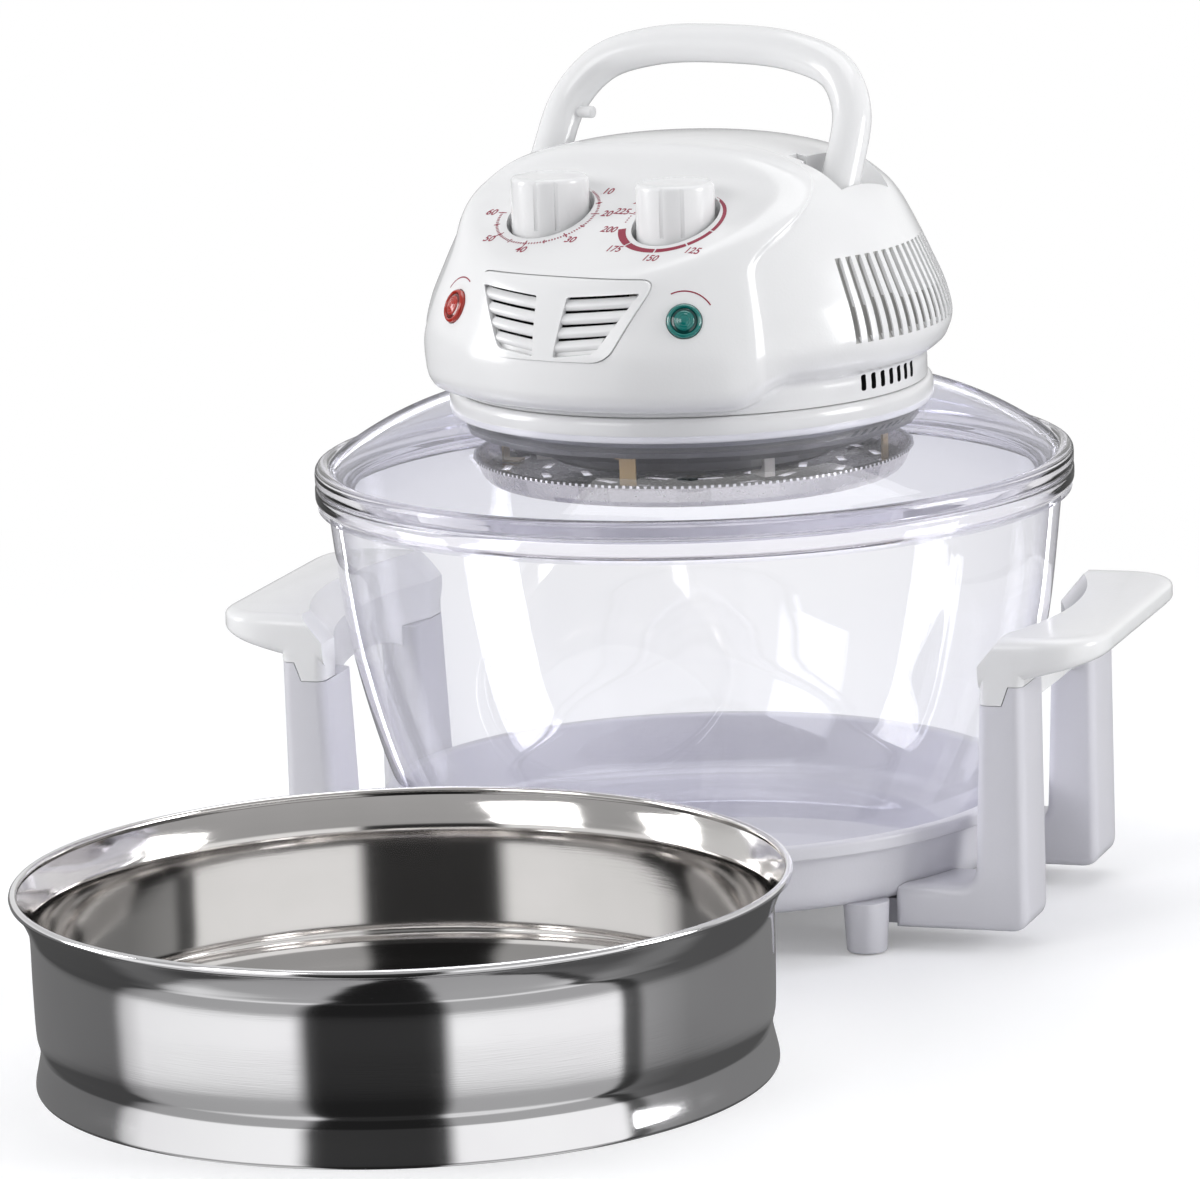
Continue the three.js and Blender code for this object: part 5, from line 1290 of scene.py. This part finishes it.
# How far from the floor's middle its fade to white begins and ends, in metres
FLOOR_FADE = (0.45, 1.1)
FLOOR_GLOW = 0.2
LIT_PLACE = Vector((0, 0.1, 0.18))
# Each softbox's place, size and watts
SOFTBOXES = {
    "key_softbox": ((-1.1, -2.1, 1.5), (1.3, 1.3), 16),
    "left_softbox": ((-2.3, -0.5, 0.8), (0.9, 1.3), 22),
    "right_softbox": ((2.4, 0.3, 0.8), (0.9, 1.3), 29),
    "top_softbox": ((0.1, 0.6, 2.4), (1.8, 1.8), 17),
}
AMBIENT = (0.9, 0.91, 0.93, 1)
AMBIENT_STRENGTH = 0.5
WHITE = (1, 1, 1, 1)
# What polished metal reflects, by direction round the oven from the camera's side, in degrees
STUDIO = [(-180, 0.2), (-120, 0.16), (-99, 0.15), (-94, 0.6), (-86, 0.9), (-33, 1.0), (-28, 0.06),
          (-24, 0.035), (8, 0.035), (13, 0.06), (17, 1.0), (71, 1.0), (73, 0.1), (78, 0.08), (81, 0.32),
          (100, 0.22), (180, 0.2)]
CAMERA_SIDE = -72.2
# How bright those reflections are by height, from straight down to straight up
STUDIO_HEIGHTS = [(-1.0, 0.35), (-0.82, 0.4), (-0.75, 0.8), (-0.7, 0.8), (-0.64, 0.4), (-0.34, 0.4),
                  (-0.28, 1.0), (0.25, 1.0), (0.4, 0.0)]
# The ceiling by height, and the low wall behind the oven by height and by direction
CEILING_HEIGHTS = [(0.25, 0.0), (0.4, 0.42), (1.0, 0.5)]
BACK_HEIGHTS = [(0.0, 0.0), (0.1, 0.6), (0.25, 0.6), (0.4, 0.2)]
BACK_ANGLES = [(-110, 1.0), (-100, 0.0), (100, 0.0), (110, 1.0)]


def make_softbox(name, place, size, watts):
    data = bpy.data.lights.new(name, "AREA")
    data.shape = "RECTANGLE"
    data.size, data.size_y = size
    data.energy = watts
    light = linked(name, data)
    light.location = place
    light.rotation_euler = (LIT_PLACE - Vector(place)).to_track_quat("-Z", "Y").to_euler()


def make_floor():
    """A pale floor that fades into the white backdrop for the camera."""
    corners = [(sx * FLOOR_HALF, sy * FLOOR_HALF, 0) for sx, sy in CORNERS]
    mesh = mesh_of(corners, [(0, 1, 3, 2)], tidy=False)
    shader = Shader("studio floor", Roughness=0.7, Specular_IOR_Level=0.2)
    shader.mottled(3, (0.85, 0.85, 0.86), (0.87, 0.87, 0.875))
    seen = shader.seen()
    glow = shader.out("Emission", WHITE, shader.between(seen, 0, FLOOR_GLOW))
    near = shader.out("AddShader", shader.base.outputs[0], glow)
    away = shader.length(shader.node("TexCoord").outputs["Object"])
    fade = shader.out("MapRange", interpolation_type="SMOOTHSTEP", Value=away, From_Min=FLOOR_FADE[0],
                      From_Max=FLOOR_FADE[1])
    far = shader.calc("MULTIPLY", fade, seen)
    shader.feed(shader.output, Surface=shader.out("MixShader", far, near, shader.out("Emission", WHITE)))
    mesh.materials.append(shader.material)
    floor = linked("floor", mesh)
    floor.visible_glossy = False


def make_world():
    """White for the camera, a studio for reflections and a plain soft light for the rest."""
    world = bpy.data.worlds.new("studio")
    bpy.context.scene.world = world
    world.use_nodes = True
    nodes = Nodes(world.node_tree)
    split = nodes.node("SeparateXYZ", nodes.node("TexCoord").outputs["Generated"]).outputs
    from_camera = nodes.calc("SUBTRACT", nodes.calc("ARCTAN2", split["Y"], split["X"]), radians(CAMERA_SIDE))
    wrapped = nodes.calc("WRAP", from_camera, pi, -pi)
    direction = nodes.calc("MULTIPLY_ADD", wrapped, 1 / (2 * pi), 0.5)
    height = nodes.calc("MULTIPLY_ADD", split["Z"], 0.5, 0.5)

    def levels(value, span, stops):
        """Brightness by a direction or height, from stops that are counted from the middle of its span."""
        return nodes.ramp(value, [(at / span + 0.5, (level, level, level)) for at, level in stops])

    around = levels(direction, 360, STUDIO)
    over = levels(height, 2, STUDIO_HEIGHTS)
    ceiling = levels(height, 2, CEILING_HEIGHTS)
    behind = levels(direction, 360, BACK_ANGLES)
    low_back = levels(height, 2, BACK_HEIGHTS)
    upper = nodes.calc("MULTIPLY_ADD", behind, low_back, ceiling)
    studio = nodes.out("Background", nodes.calc("MULTIPLY_ADD", around, over, upper))
    ambient = nodes.tree.nodes["Background"]
    nodes.feed(ambient, AMBIENT, AMBIENT_STRENGTH)
    glossy = nodes.node("LightPath").outputs["Is Glossy Ray"]
    unseen = nodes.out("MixShader", glossy, ambient.outputs[0], studio)
    surface = nodes.out("MixShader", nodes.seen(), unseen, nodes.out("Background", WHITE))
    nodes.feed(nodes.tree.nodes["World Output"], Surface=surface)


make_floor()
make_world()
for name, softbox in SOFTBOXES.items():
    make_softbox(name, *softbox)
bpy.context.scene.view_settings.view_transform = "Standard"
